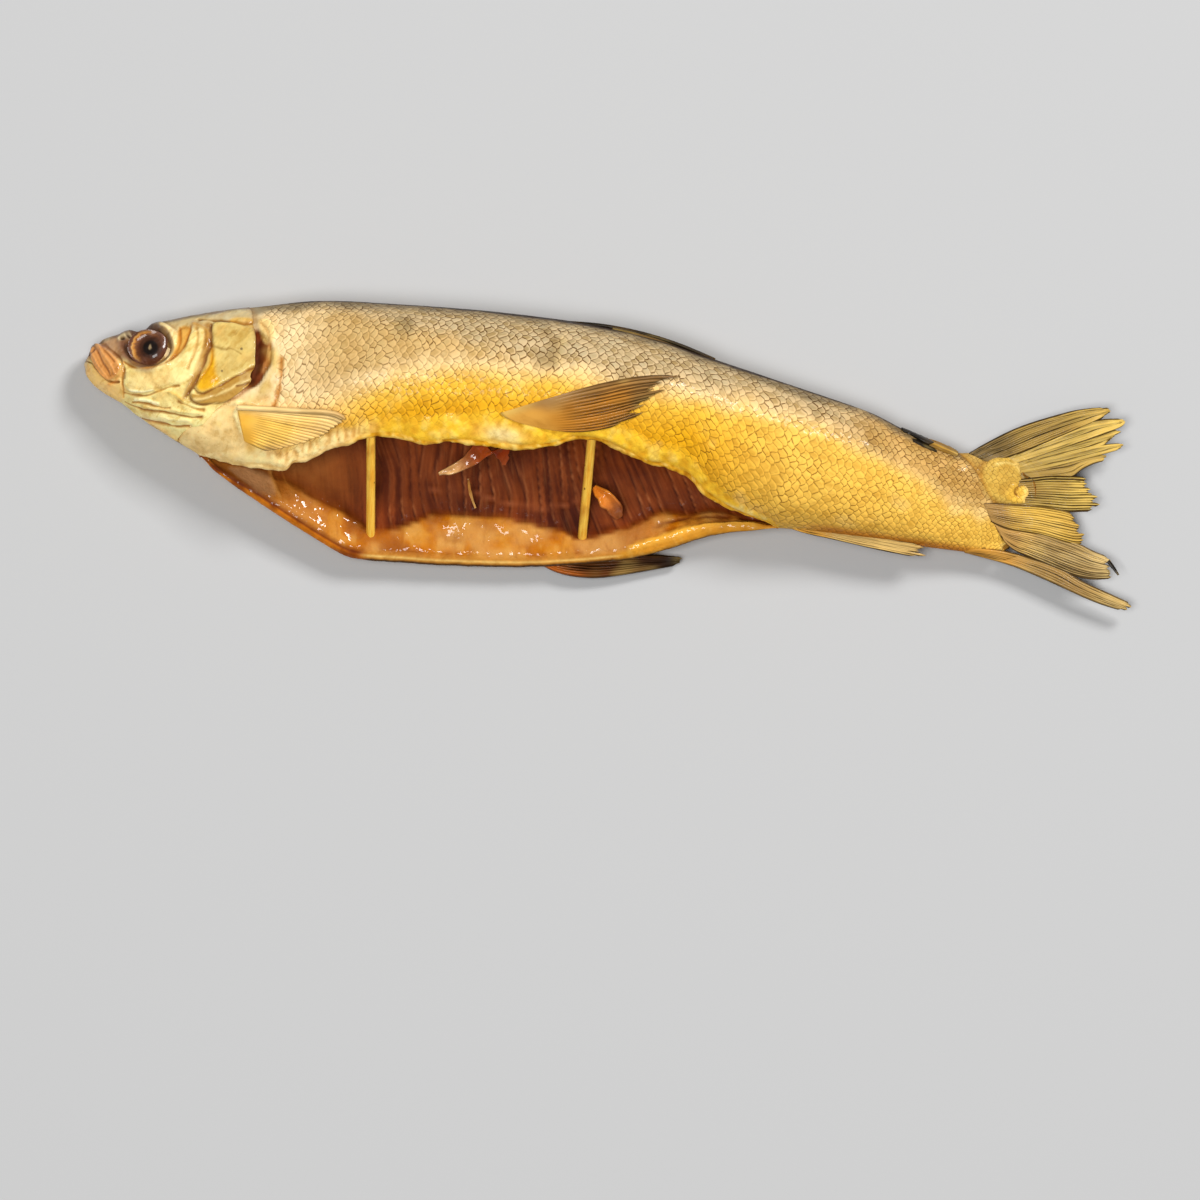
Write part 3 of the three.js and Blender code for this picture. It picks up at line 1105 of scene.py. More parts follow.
@dataclass
class BodyShape:
    """Cross-sections of the body along its length, in millimetres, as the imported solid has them."""

    slit_front: float = -131.0
    slit_rear: float = 56.0
    upper_rim: float = 3.2
    lower_rim: float = 2.2
    roof_z: float = 19.0
    roof_below_back: float = 29.0
    full_gape: float = 20.0
    back_y: Curve = Curve(
        (
            (-172, 7.5), (-170, 11), (-167.5, 14), (-161.5, 17.2), (-153, 21.2), (-137, 27.2), (-118, 32.5),
            (-100, 36.9), (-74, 39.6), (-42, 41.7), (-10, 42), (10, 40.3), (28, 36.7), (56, 31.6), (80, 27),
            (92, 23), (104, 20), (110, 19.5), (116, 20.6), (124, 21.2), (131, 19.6), (136.5, 15),
        )
    )
    belly_y: Curve = Curve(
        (
            (-172, 4.5), (-167, -0.5), (-158.5, -4.5), (-148, -10.2), (-137, -15), (-131, -17.6), (-125, -22),
            (-113, -28.2), (-98, -35.2), (-87, -40), (-80, -42.5), (-74.5, -43), (-66, -42.3), (-50, -41.1),
            (-32, -39), (-18, -36.9), (7, -31.2), (20.6, -26), (32, -20.4), (39.3, -17.8), (47, -15.9),
            (56, -13.7),
            (79, -13), (105, -12.8),
            (120, -12.6), (129, -13.2), (133, -11), (136.5, -7),
        )
    )
    flap_y: Curve = Curve(
        (
            (-131, -17.5), (-119, -19.2), (-110, -18.6), (-103.4, -18.7), (-101.9, -17.9), (-100.8, -16.2),
            (-97, -14.6), (-94, -13), (-90, -9.8), (-84, -7.2), (-79, -4.3), (-70, -2.6), (-60, -3.8),
            (-51, -1.9), (-37, -0.9), (-28, -0.4), (-19, 1.9), (-13, 4.7),
            (-4, 5), (4, 2.6), (12, 0.4), (18, 0.3), (25, -1.8), (31, -6.3), (41, -10.3), (52, -12.4),
            (56, -13.7),
        )
    )
    top_z: Curve = Curve(
        (
            (-172, 9.5), (-168, 14), (-160, 19), (-150, 23.5), (-135, 28), (-118, 31.5), (-100, 35),
            (-80, 38.5),
            (-50, 40.5), (-15, 40), (15, 37.5), (35, 34.5), (56, 31), (80, 26), (100, 20.5), (113, 16),
            (121, 13),
            (130, 10), (136.5, 8),
        )
    )
    floor_z: Curve = Curve(
        (
            (-172, 6.5), (-168, 4.5), (-160, 3), (-150, 1.8), (-135, 0.6), (-120, -0.8), (-100, -1.4),
            (56, -1.2),
            (90, -0.6), (113, 1.5), (121, 3), (130, 4.8), (136.5, 6.2),
        )
    )
    ridge_z: Curve = Curve(
        (
            (-172, 8), (-160, 11.5), (-150, 12.8), (-135, 14.4), (-118, 15.5), (-80, 16.5), (-15, 17),
            (30, 16.5),
            (56, 15), (80, 13), (100, 10.5), (113, 8.8), (129, 7.2), (136.5, 7),
        )
    )
    edge_z: Curve = Curve(
        (
            (-172, 8), (-160, 10.5), (-150, 12), (-131, 13), (-113, 12), (-96, 10), (-75, 8), (-50, 7),
            (-18, 7),
            (7, 8), (32, 10.5), (56, 13.5), (80, 12.5), (105, 10), (120, 8.5), (129, 7.4), (136.5, 7),
        )
    )
    flap_z: Curve = Curve(
        (
            (-131, 13), (-121, 20), (-106, 27), (-93, 31), (-78, 34), (-50, 35.5), (-15, 35), (5, 33),
            (20, 29),
            (31, 24.5), (45, 18), (56, 13.5),
        )
    )

    def gape(self, x: Array) -> Array:
        """How far the belly gapes at x, from 0 where it is whole to 1 where it is wide open."""
        open_here = np.clip((self.flap_z(x) - self.edge_z(x)) / self.full_gape, 0, 1)
        return np.where((x <= self.slit_front) | (x >= self.slit_rear), 0.0, open_here)

    def flap(self, x: Array) -> tuple[Array, Array]:
        """The upper edge of the cut at x, which is the belly line where the belly is whole.

        Args:
            x: The stations.

        Returns:
            The edge's y and z.
        """
        whole = (x <= self.slit_front) | (x >= self.slit_rear)
        inwards = 0.9 * np.minimum(self.gape(x) * 1.5, 1)
        y = np.where(whole, self.belly_y(x), self.flap_y(x) + inwards)
        return y, np.where(whole, self.edge_z(x), self.flap_z(x))

    def flank(self, x: Array, side: Side) -> Array:
        """The curves of one flank, from the ridge of the back to the cut.

        Args:
            x: The stations.
            side: The flank.

        Returns:
            The control points, (..., 4, 2) as y and z.
        """
        back, ridge, opened = self.back_y(x), self.ridge_z(x), self.gape(x)
        if side is Side.LEFT:
            top = self.top_z(x)
            edge_y, edge_z = self.flap(x)
            depth = back - edge_y
            ys = (back, back - 0.03 * depth, edge_y + depth * mix(0.06, 0.42, opened), edge_y)
            shoulder = ridge + (top - ridge) * mix(1.33, 1.1, opened)
            side_z = mix(edge_z + (top - edge_z) * 1.33, top + 5, opened)
            zs = (ridge, shoulder, side_z, edge_z)
        else:
            floor, edge_y, edge_z = self.floor_z(x), self.belly_y(x), self.edge_z(x)
            depth = back - edge_y
            ys = (back, back - 0.03 * depth, edge_y + depth * mix(0.06, 0.36, opened), edge_y)
            side_z = mix(edge_z - (edge_z - floor) * 1.33, floor - 2, opened)
            zs = (ridge, ridge - (ridge - floor) * 1.33, side_z, edge_z)
        return np.stack([np.stack(ys, axis=-1), np.stack(zs, axis=-1)], axis=-1)

    def lining(self, x: Array) -> tuple[Array, Array]:
        """The lining's two curves, which meet at its roof near the backbone.

        Args:
            x: The stations.

        Returns:
            The control points of the upper and the lower curve, (..., 4, 2).
        """
        reach = np.minimum(self.gape(x) * 1.5, 1)
        flap_y, flap_z = self.flap(x)
        edge_y, edge_z = self.belly_y(x), self.edge_z(x)
        roof_y = mix(np.maximum(flap_y, edge_y), self.back_y(x) - self.roof_below_back, reach)
        roof_z = mix((flap_z + edge_z) / 2, self.roof_z, reach)
        inner_y, inner_z = flap_y + 0.6 * reach, flap_z - self.upper_rim * reach
        outer_y, outer_z = edge_y + 2.1 * reach, edge_z + self.lower_rim * reach
        upper_y = (inner_y, mix(inner_y, roof_y, 0.5), roof_y, roof_y)
        upper_z = (inner_z, inner_z + 1.5 * reach, roof_z + 8 * reach, roof_z)
        lower_y = (roof_y, roof_y, mix(outer_y, roof_y, 0.4), outer_y)
        lower_z = (roof_z, roof_z - 9 * reach, 4.2 + 2 * (1 - reach), outer_z)
        upper = np.stack([np.stack(upper_y, axis=-1), np.stack(upper_z, axis=-1)], axis=-1)
        lower = np.stack([np.stack(lower_y, axis=-1), np.stack(lower_z, axis=-1)], axis=-1)
        return upper, lower

    def height(self, x: Array, y: Array, side: Side) -> Array:
        """The height of a flank's skin over each point (x, y), or of its nearest edge beyond it.

        Args:
            x: The points' x.
            y: Their y.
            side: The flank.

        Returns:
            The heights.
        """
        shape = np.shape(x)
        flat_x, flat_y = np.ravel(x).astype(float), np.ravel(y)
        places = np.linspace(0, 1, SKIN_STEPS + 1)
        line = bezier(self.flank(flat_x, side)[:, None], np.broadcast_to(places, (len(flat_x), len(places))))
        after = np.clip((line[..., 0] <= flat_y[:, None]).argmax(axis=1), 1, SKIN_STEPS)
        after = np.where(line[:, -1, 0] > flat_y, SKIN_STEPS, after)
        rows = np.arange(len(flat_x))
        a, b = line[rows, after - 1], line[rows, after]
        step = b[:, 0] - a[:, 0]
        t = np.clip((flat_y - a[:, 0]) / np.where(abs(step) < 1e-9, 1.0, step), 0, 1)
        return mix(a[:, 1], b[:, 1], t).reshape(shape)


# ---- the trunk


CREAM = rgb(246, 219, 168)
SAND = rgb(196, 162, 100)
GREY_CREAM = rgb(190, 172, 136)
BACK_GREY = rgb(120, 106, 80)
GOLD = rgb(238, 188, 64)
DEEP_GOLD = rgb(232, 172, 26)
PALE_FAT = rgb(255, 224, 152)
WALL = rgb(124, 54, 14)
DARK_WALL = rgb(74, 22, 5)
BELLY_FAT = rgb(186, 106, 8)
DARK_LINE = rgb(46, 28, 16)


@dataclass
class Trunk:
    """The trunk from behind the head to the root of the tail, scaled outside and hollow in the belly."""

    shape: BodyShape
    front: float = -152.0
    rear: float = 136.5
    stations: int = 424
    right_steps: int = 50
    left_steps: int = 116
    rim_steps: int = 9
    upper_steps: int = 14
    lower_steps: int = 38
    lip_steps: int = 5
    scale_rows: float = 28.0
    scale_length: float = 3.3
    under_shade: Colour = (0.93, 0.86, 0.74)
    throat_tuck: float = 2.6
    rim_bulge: float = 1.7
    bow_y: float = 9.0
    bow_up: float = 0.055
    bow_down: float = 0.014
    tallest: float = 41.5
    widest: float = 43.0
    gill_edge: tuple[Point, ...] = (
        (-122, 32), (-119.5, 28.5), (-119, 26.5), (-118, 23.5), (-117.2, 20), (-116.7, 14), (-116.6, 9),
        (-118.4, 6.2), (-122, 3), (-126.5, 0.2), (-129.5, -4), (-131.6, -6.4), (-134.6, -8.4), (-137, -14),
    )
    tail_border: tuple[Point, ...] = (
        (107, 22), (109.1, 18.3), (112.7, 16), (116.6, 12.3), (118.5, 8.8), (122.5, 4.1), (126.1, -0.6),
        (130.3, -7.1), (133, -12),
    )
    fat_line: tuple[Point, ...] = (
        (-118, -18), (-108, -20.5), (-100, -23.5), (-89, -27.5), (-80, -30), (-73.5, -34), (-66, -31.5),
        (-55, -25.7), (-43, -24.9), (-32, -23), (-20, -25.4), (-12, -24.9), (-6.5, -27.7), (0.7, -24.5),
        (7, -20.7), (14, -16.3), (27, -12.6), (45, -12), (56, -13.5),
    )
    gold_line: Curve = Curve(
        ((-130, 4), (-100, 4), (-80, 13), (-50, 23), (0, 24), (25, 25), (50, 20.6), (77, 16), (97, 9.5),
         (110, 2))
    )
    grey_line: Curve = Curve(
        ((-130, 29), (-100, 33), (-60, 31), (-30, 27), (0, 25), (30, 27), (60, 22), (97, 12), (110, 6))
    )
    strip_width: Curve = Curve(((-131, 0), (-118, 5), (-100, 6), (-80, 5), (-40, 9), (0, 7), (30, 5), (56, 1)))
    chest: Plate = Plate(
        ((-140, 0), (-121, 1), (-116.5, -10), (-115.5, -22), (-126, -26), (-142, -16)), 1.0, None, 1.0
    )
    gill_features: tuple[Plate | Fold, ...] = (
        Plate(
            ((-119.5, 25.5), (-115.4, 23.4), (-112.6, 20.2), (-111.9, 15.6), (-113.3, 11.6), (-115, 7.6),
             (-117.6, 5.4), (-121, 8), (-121, 20)),
            -1.3, rgb(116, 48, 12), 0.5, 0.97, 0.2,
        ),
        Plate(
            ((-114.6, 18.6), (-112.6, 18.6), (-112.6, 14), (-114.4, 12.6)),
            0.2, rgb(176, 98, 34), 0.6, 0.8,
        ),
        Plate(
            ((-119, 28.2), (-114, 28.8), (-112, 24.6), (-112.4, 20.9), (-115.2, 20.6), (-117.4, 24)),
            0.5, rgb(240, 206, 132), 0.6, 0.9,
        ),
        # Painted shadow: a dark groove along the gill cover's rear edge.
        Fold(((-117.4, 21), (-116.4, 15), (-116.6, 9.5), (-119, 6.4)), 1.1, -0.5, rgb(60, 22, 8), 0.8),
        Fold(((-113.9, 21), (-113.2, 17), (-114.6, 13.4), (-115, 9.4)), 0.4, 0.5, rgb(190, 112, 60), 0.7),
        Fold(
            ((-117.6, 27), (-115.4, 25.6), (-113.6, 22.4), (-112.9, 19.5)),
            0.35, -0.4, rgb(186, 128, 54), 0.7,
        ),
        Fold(
            ((-112, 18), (-111, 14), (-112.2, 9), (-114.6, 4), (-116.5, 0.5)),
            2.0, 0.6, rgb(220, 184, 106), 0.95,
        ),
        Fold(((-109.2, 17), (-108.4, 12), (-108.8, 5), (-109.6, 0)), 0.5, -0.6, rgb(206, 142, 58), 0.85),
        Fold(((-118.6, 6), (-121, 2.8), (-125, 0.3), (-128.6, -3.4)), 0.7, -0.5, rgb(150, 84, 32), 0.8),
        Fold(
            ((-121.3, 0.9), (-120.4, -0.6), (-121.2, -2.6), (-120, -5), (-117.6, -9.5)),
            0.55, 0.55, rgb(252, 226, 156),
        ),
        Fold(((-126, -0.8), (-121.4, 1), (-117, 1.4)), 0.6, 0.4, rgb(250, 216, 140), 0.8),
    )
    tail_features: tuple[Plate | Fold, ...] = (
        Plate(
            ((117.5, 13), (120.5, 19.2), (126.4, 21.2), (132, 20.6), (134.2, 14), (134.6, 8), (133, 4.8),
             (127, 4.4), (122, 5.4), (118.6, 9)),
            1.3, rgb(206, 166, 72), 1.6, 0.9,
        ),
        Plate(
            ((127.5, 10.5), (131, 11.5), (134.2, 9.5), (134, 5.6), (129.5, 4.6), (126, 6.5)),
            0.5, rgb(236, 186, 70), 1.0, 0.8,
        ),
        Plate(
            ((129.5, 18.4), (132.6, 18.8), (133.4, 12.5), (130.6, 12.6)),
            -0.9, rgb(150, 104, 44), 0.8, 0.8,
        ),
        Fold(
            ((131.6, 17.5), (130.4, 14.5), (131.8, 12.2), (129.6, 10.6), (128.6, 8.4), (130, 7.4)),
            0.35, -0.7, rgb(120, 76, 30), 0.8,
        ),
        Fold(((133, 15.5), (132.2, 13.2), (133.4, 11)), 0.3, -0.5, rgb(120, 76, 30), 0.7),
        Fold(((122, 16.4), (125, 17.6), (128.5, 17.2)), 0.4, 0.4, rgb(250, 226, 140), 0.6),
    )
    lining_features: tuple[Plate | Fold, ...] = (
        Plate(
            ((-123, -20.3), (-112, -19), (-107.6, -21), (-104.6, -27.2), (-110, -27.2), (-118, -23.3)),
            -0.2, rgb(186, 132, 84), 0.5, 0.8,
        ),
        Plate(
            ((5.5, -29.8), (9, -27.6), (13, -24.6), (21, -20.8), (29, -17.6), (38, -15.2), (47, -14.2),
             (54, -14.4), (54, -20), (34, -24), (12, -34)),
            0.9, rgb(234, 168, 56), 0.6, 0.92,
        ),
        Fold(
            ((-108.6, -17), (-107.6, -21.5), (-104.4, -27.2), (-101, -30)),
            0.45, 0.6, rgb(196, 130, 58), 0.8,
        ),
        Fold(((-104.6, -18), (-102.4, -23), (-97, -28), (-92, -31)), 0.4, 0.35, rgb(176, 108, 40), 0.6),
        Fold(
            ((-57, -17.6), (-46, -16), (-33, -18.4), (-24, -18.6), (-14, -17.2), (-8.5, -14)),
            0.45, 0.7, rgb(150, 76, 40), 0.7,
        ),
        Fold(((-130, -19.4), (-122, -22.6), (-112, -27), (-103, -31.4)), 1.0, -0.4, rgb(96, 40, 14), 0.85),
        Fold(((16, -19.4), (26, -14.9), (40, -12.7), (52, -12.4)), 0.5, -0.5, rgb(110, 44, 18), 0.8),
    )

    def build(self) -> bpy.types.Object:
        """Make the trunk, dressed.

        Returns:
            The trunk.
        """
        x, points, zone, place = self._ring()
        skin = self._relief(x, points, zone, place)
        normal = surface_normals(points)
        whole = (self.shape.gape(x) == 0)[:, None] & (zone >= Zone.UPPER_RIM.value)[None, :]
        seam = np.where(zone >= Zone.UPPER_RIM.value, 1.0, ease(1.0, 0.97, place))
        seam = np.where(zone == Zone.LOWER_RIM.value, ease(1.0, 0.7, place), seam)
        height = np.where(whole, 0.0, skin["height"] * seam)
        points = points - normal * height[..., None]
        points[..., 1] += np.where(whole, self.throat_tuck * ease(-136, -141, x)[:, None], 0.0)
        points[..., 2] = np.clip(points[..., 2], 0.0, self.tallest)
        points[..., 1] = np.clip(points[..., 1], -self.widest, self.widest)
        points[..., 0] = np.minimum(points[..., 0], self.rear)
        # Painted shade in the trunk's hollows and painted highlight on its crests, from its relief.
        sheet = Sheet("body", points, painted_relief_shading(skin["tint"], height, 1.3), skin["mask"], skin["pattern"])
        piece = sheet.build(close=True)
        finish_piece(piece, SKIN, "fish")
        return piece

    def _ring(self) -> tuple[Array, Array, Array, Array]:
        """The smooth cross-sections.

        Returns:
            The stations' x, the points, each column's zone, and each point's place in its zone, 0 to 1.
        """
        shape = self.shape
        x = np.linspace(self.front, self.rear, self.stations + 1)
        left, right = shape.flank(x, Side.LEFT), shape.flank(x, Side.RIGHT)
        upper, lower = shape.lining(x)
        reach = np.minimum(shape.gape(x) * 1.5, 1)
        edge, inner = left[:, 3], upper[:, 0]
        roll = np.stack([edge, edge, inner, inner], axis=1)
        bulge = (self.rim_bulge + 0.7 * Grain(11.0, 5)(x)) * reach
        roll[:, 1] += np.stack([-bulge, -0.2 * bulge], axis=-1)
        roll[:, 2] += np.stack([-bulge * 1.1, 0.1 * bulge], axis=-1)
        cut, lip = right[:, 3], lower[:, 3]
        turn = np.stack([lip, lip, cut, cut], axis=1)
        turn[:, 1] += np.stack([-0.7 * reach, 0.5 * reach], axis=-1)
        turn[:, 2] += np.stack([-0.9 * reach, 0.3 * reach], axis=-1)
        parts, zones, places = [], [], []
        runs = (
            (right, self.right_steps, Zone.RIGHT_FLANK, True),
            (left, self.left_steps, Zone.LEFT_FLANK, False),
            (roll, self.rim_steps, Zone.UPPER_RIM, False),
            (upper, self.upper_steps, Zone.LINING, False),
            (lower, self.lower_steps, Zone.LINING, False),
            (turn, self.lip_steps, Zone.LOWER_RIM, False),
        )
        for number, (controls, steps, zone, backwards) in enumerate(runs):
            t = even_places(controls, steps)
            t = t[:, ::-1] if backwards else t
            last = number == len(runs) - 1
            t = t if last else t[:, :-1]
            parts.append(bezier(controls[:, None], t))
            zones += [zone.value] * t.shape[1]
            share = np.linspace(0, 1, steps + 1)[: t.shape[1]]
            places.append(1 - share if backwards else share)
        ring = np.concatenate(parts, axis=1)
        points = np.empty(ring.shape[:2] + (3,))
        points[..., 0] = x[:, None]
        points[..., 1:] = ring
        points[..., 0] -= self._bow(ring[..., 0]) * ease(112, self.rear, points[..., 0])
        points[..., 2] = np.maximum(points[..., 2], 0.0)
        place = np.broadcast_to(np.concatenate(places), ring.shape[:2])
        return x, points, np.array(zones), place

    def _bow(self, y: Array) -> Array:
        """How far the hollow rear edge of the tail's root lies forward of its middle."""
        off = y - self.bow_y
        return np.where(off > 0, self.bow_up, self.bow_down) * off**2

    def _relief(self, x: Array, points: Array, zone: Array, place: Array) -> dict[str, Array]:
        """The height, colour, mask and pattern over the whole trunk.

        Args:
            x: The stations' x.
            points: The points.
            zone: Each column's zone.
            place: Each point's place in its zone.

        Returns:
            The four, by name.
        """
        xs, ys, zs = np.moveaxis(points, 2, 0)
        columns = np.broadcast_to(zone, xs.shape)
        outside = (columns < Zone.UPPER_RIM.value) | (self.shape.gape(x) <= 0)[:, None]
        rims = (columns == Zone.UPPER_RIM.value) | (columns == Zone.LOWER_RIM.value)
        skins, linings = self._outer_skin(xs, ys, zs, columns), self._lining(xs, ys, zs)
        made = {}
        for name, skin, rim, lining in zip(
            ("height", "tint", "mask"), skins, self._rims(xs, ys, place, columns), linings
        ):
            on_skin, on_rim = (outside, rims) if skin.ndim == 2 else (outside[..., None], rims[..., None])
            made[name] = np.where(on_skin, skin, np.where(on_rim, rim, lining))
        made["mask"][..., 0] *= columns < Zone.UPPER_RIM.value
        length = self.scale_length * np.interp(x, [-120, -40, 60, 110, 136], [0.74, 0.86, 0.92, 0.62, 0.55])
        cell = np.concatenate([[0], np.cumsum(np.diff(x) / length[1:])])
        sign = np.where(columns == Zone.RIGHT_FLANK.value, -1.0, 1.0)
        scales = np.stack([np.broadcast_to(cell[:, None], xs.shape), sign * place * self.scale_rows], axis=-1)
        muscle = np.stack([self._slant(xs, ys), ys], axis=-1)
        made["pattern"] = np.where((columns == Zone.LINING.value)[..., None], muscle, scales)
        return made

    def _outer_skin(self, x: Array, y: Array, z: Array, columns: Array) -> tuple[Array, Array, Array]:
        """The scaled skin, from the shoulder to the root of the tail.

        Args:
            x: The points' x.
            y: Their y.
            z: Their z.
            columns: Their zones.

        Returns:
            The height, colour and mask.
        """
        cloud = Grain(16.0, 3, 3)(x, y, z)
        blotch = Grain(7.0, 9, 2)(x, y, z)
        left = columns == Zone.LEFT_FLANK.value
        sheet = Skin(x, y, CREAM)
        clear = self._flank_colours(sheet, (x, y, z), cloud, blotch)
        near_cut = self._cut_strip(sheet, (x, y, z), left, blotch)
        clear = clear * (1 - 0.85 * near_cut)
        clear = clear * (1 - self._smooth_chest(sheet, (x, y, z), left))
        self._gill_side(sheet, x, y)
        clear = clear * ease(-2.0, 2.5, x - np.interp(y, [20, 28], [-109.5, -117.5]) + 1.2 * blotch)
        beyond = self._beyond_border(x, y)
        sheet.height -= 0.95 * ease(0.0, 0.7, beyond)
        sheet.wash(bell(beyond, 0.4) * (0.4 + 0.3 * blotch), rgb(96, 66, 26))
        self._tail_root(sheet, x, y, beyond)
        clear = clear * (1 - 0.55 * ease(0, 1, beyond))
        sheet.wash(ease(-9.6, -12.2, y) * ease(58, 74, x) * 0.9, rgb(196, 120, 30))
        height = sheet.height + 0.10 * cloud + 0.05 * blotch
        tint = np.where(left[..., None], sheet.tint, sheet.tint * np.array(self.under_shade))
        mask = np.stack([np.clip(clear, 0, 1), 0.16 + 0.14 * near_cut, np.zeros(x.shape)], axis=-1)
        return height, tint, mask

    def _flank_colours(self, sheet: Skin, place: Sequence[Array], cloud: Array, blotch: Array) -> Array:
        """Colour the flanks from the golden belly over sandy sides to the grey back.

        Args:
            sheet: The skin.
            place: The points' x, y and z.
            cloud: Wide unevenness.
            blotch: Finer unevenness.

        Returns:
            How clearly the scales show.
        """
        x, y, z = place
        wander = 3.0 * cloud + 1.5 * blotch
        front, rear = ease(-70, -105, x), ease(20, 60, x)
        gold, grey = self.gold_line(x), self.grey_line(x)
        above_gold, above_grey = y - gold + wander, y - grey + wander
        sheet.wash(ease(5, -7, above_gold) * (1 - 0.55 * front), GOLD)
        sheet.wash(ease(-4, -15, y - gold + 1.4 * wander) * (1 - 0.65 * front), DEEP_GOLD)
        sheet.wash(ease(5, -7, above_gold) * rear * 0.85, rgb(238, 192, 86))
        sheet.wash(ease(-2, 8, above_gold) * ease(-112, -90, x) * 0.85, SAND)
        sheet.wash(ease(-2, 6, above_grey) * 0.8, GREY_CREAM)
        sheet.wash(ease(0.1, 0.6, Grain(9.0, 15, 2)(x, y, z)) * ease(-7, 3, y - grey) * 0.75, rgb(140, 116, 72))
        sheet.wash(ease(60, 92, x) * ease(-3, 4, above_gold) * 0.75, rgb(196, 152, 74))
        below = self.shape.back_y(x) - y
        sheet.wash(ease(3.6, 0.6, below + 1.6 * blotch) * 0.8, BACK_GREY)
        ridge = 0.45 + 0.75 * ease(-78, -30, x) * ease(60, 30, x)
        crest = ease(-2.4, -0.4, z - self.shape.ridge_z(x)) * ease(-124, -100, x)
        sheet.wash(ease(ridge, ridge * 0.4, below + 0.25 * blotch) * crest, DARK_LINE)
        sheet.wash(ease(0.35, 0.8, blotch) * 0.25, PALE_FAT)
        return 0.62 + 0.38 * ease(-4, 4, above_grey)

    def _cut_strip(self, sheet: Skin, place: Sequence[Array], left: Array, blotch: Array) -> Array:
        """Lay the fatty, wrinkled strip of skin along the upper edge of the cut, pleated near the throat.

        Args:
            sheet: The skin.
            place: The points' x, y and z.
            left: Which points are on the left flank.
            blotch: Unevenness of the strip's border.

        Returns:
            Where the strip is, 0 to 1.
        """
        x, y, z = place
        width = np.maximum(self.strip_width(x), 0.5)
        strip = ease(1.25, 0.55, (y - self.shape.flap(x)[0]) / width + 0.25 * blotch)
        strip = strip * left * (self.shape.gape(x) > 0)
        crumb = Grain(3.2, 23, 3)(x, y)
        sheet.wash(strip * 0.9, rgb(252, 200, 54))
        # Paler on the crumbs' crests and deeper orange in their hollows: the fat's own tones, with painted
        # highlight on the crests and painted shade in the hollows.
        sheet.wash(strip * ease(0.05, 0.5, crumb) * 0.6, rgb(255, 214, 104))
        sheet.wash(strip * ease(0.05, 0.5, -crumb) * 0.45, rgb(236, 166, 32))
        sheet.wash(strip * bell(x + 36, 6) * bell(y - 3, 2.6) * 0.8, rgb(250, 228, 164))
        sheet.wash(strip * ease(28, 36, x) * ease(0.0, 0.4, crumb) * 0.6, rgb(252, 222, 140))
        pale = strip * ease(-72, -90, x)
        sheet.wash(pale, PALE_FAT)
        sheet.wash(pale * ease(0.1, 0.6, -crumb) * 0.5, rgb(228, 176, 108))
        wrinkle = Grain(5.0, 21, 2)(x * 1.4, y * 0.8, z)
        sheet.height += strip * (0.5 * wrinkle + 0.35 * crumb + 0.35)
        pleats = bell(((x + 0.25 * y) / 2.7 + 0.9 * wrinkle) % 1.0 - 0.5, 1 / 4.2)
        pleats = pleats * ease(-110, -104, x) * ease(-72, -80, x) * strip
        sheet.height -= 0.5 * pleats
        # Painted shade in the pleats' grooves.
        sheet.wash(pleats * 0.35, rgb(222, 168, 92))
        return strip

    def _smooth_chest(self, sheet: Skin, place: Sequence[Array], left: Array) -> Array:
        """Lay the pale bare skin of the chest below the gill cover.

        Args:
            sheet: The skin.
            place: The points' x, y and z.
            left: Which points are on the left flank.

        Returns:
            Where it is, 0 to 1.
        """
        x, y, z = place
        chest = Skin(x, y, CREAM)
        chest.lay([self.chest])
        smooth = np.clip(chest.height, 0, 1) * left
        sheet.wash(smooth, rgb(252, 218, 148))
        sheet.wash(smooth * ease(0.2, 0.8, Grain(3.4, 27, 2)(x, y)) * 0.4, rgb(244, 200, 104))
        sheet.height += smooth * 0.25 * Grain(6.0, 40, 2)(x, y, z)
        return smooth

    def _gill_side(self, sheet: Skin, x: Array, y: Array) -> None:
        """The gill slit and the shoulder bones behind it; the skin sinks under the head in front of them.

        Args:
            sheet: The skin.
            x: The points' x.
            y: Their y.
        """
        edge = rounded(self.gill_edge, False)
        edge_x = np.interp(y, edge[::-1, 1], edge[::-1, 0])
        behind = x - edge_x
        sheet.height -= 1.9 * ease(-0.6, -3.5, behind)
        sheet.wash(ease(2.2, 0.0, behind) * ease(18, 24, y) * 0.6, rgb(150, 112, 64))
        sheet.lay(self.gill_features)

    def _beyond_border(self, x: Array, y: Array) -> Array:
        """How far each point is past the line where the scaled skin ends.

        Args:
            x: The points' x.
            y: Their y.

        Returns:
            The distances, negative on the scaled side.
        """
        border = rounded(self.tail_border, False)
        border_x = np.interp(y, border[::-1, 1], border[::-1, 0])
        near = (x > 95) & (x < 150)
        distance = np.full(x.shape, 99.0)
        distance[near] = path_distance(x[near], y[near], border, False)
        return np.where(x > border_x, distance, -distance)

    def _tail_root(self, sheet: Skin, x: Array, y: Array, beyond: Array) -> None:
        """The fleshy root of the tail: golden scaly skin with a smooth swelling and a wrinkled hollow in it.

        Args:
            sheet: The skin.
            x: The points' x.
            y: Their y.
            beyond: How far they are beyond the scaled skin.
        """
        end = self.rear - self._bow(y)
        sheet.wash(ease(0.2, 1.2, beyond), rgb(196, 160, 84))
        sheet.wash(ease(0.2, 2.5, beyond) * ease(2, -3, y) * 0.9, rgb(178, 138, 84))
        sheet.lay(self.tail_features)
        scallop = Grain(2.2, 91, 2)(x, y)
        sunk = ease(3.2, 1.2, end - x + 1.6 * scallop) * ease(122, 128, x)
        sheet.height -= 1.7 * sunk
        sheet.wash(sunk * 0.8, rgb(166, 130, 66))
        rim = bell(end - x + 1.6 * scallop - 3.6, 0.8) * ease(122, 128, x)
        sheet.wash(rim * 0.7, rgb(246, 210, 120))

    @staticmethod
    def _slant(x: Array, y: Array) -> Array:
        """A coordinate across the slanting bands of the belly's muscle."""
        return x + (0.27 + 0.42 * ease(-20, 12, x)) * (y + 12) + 1.6 * Grain(14.0, 50)(x, y)

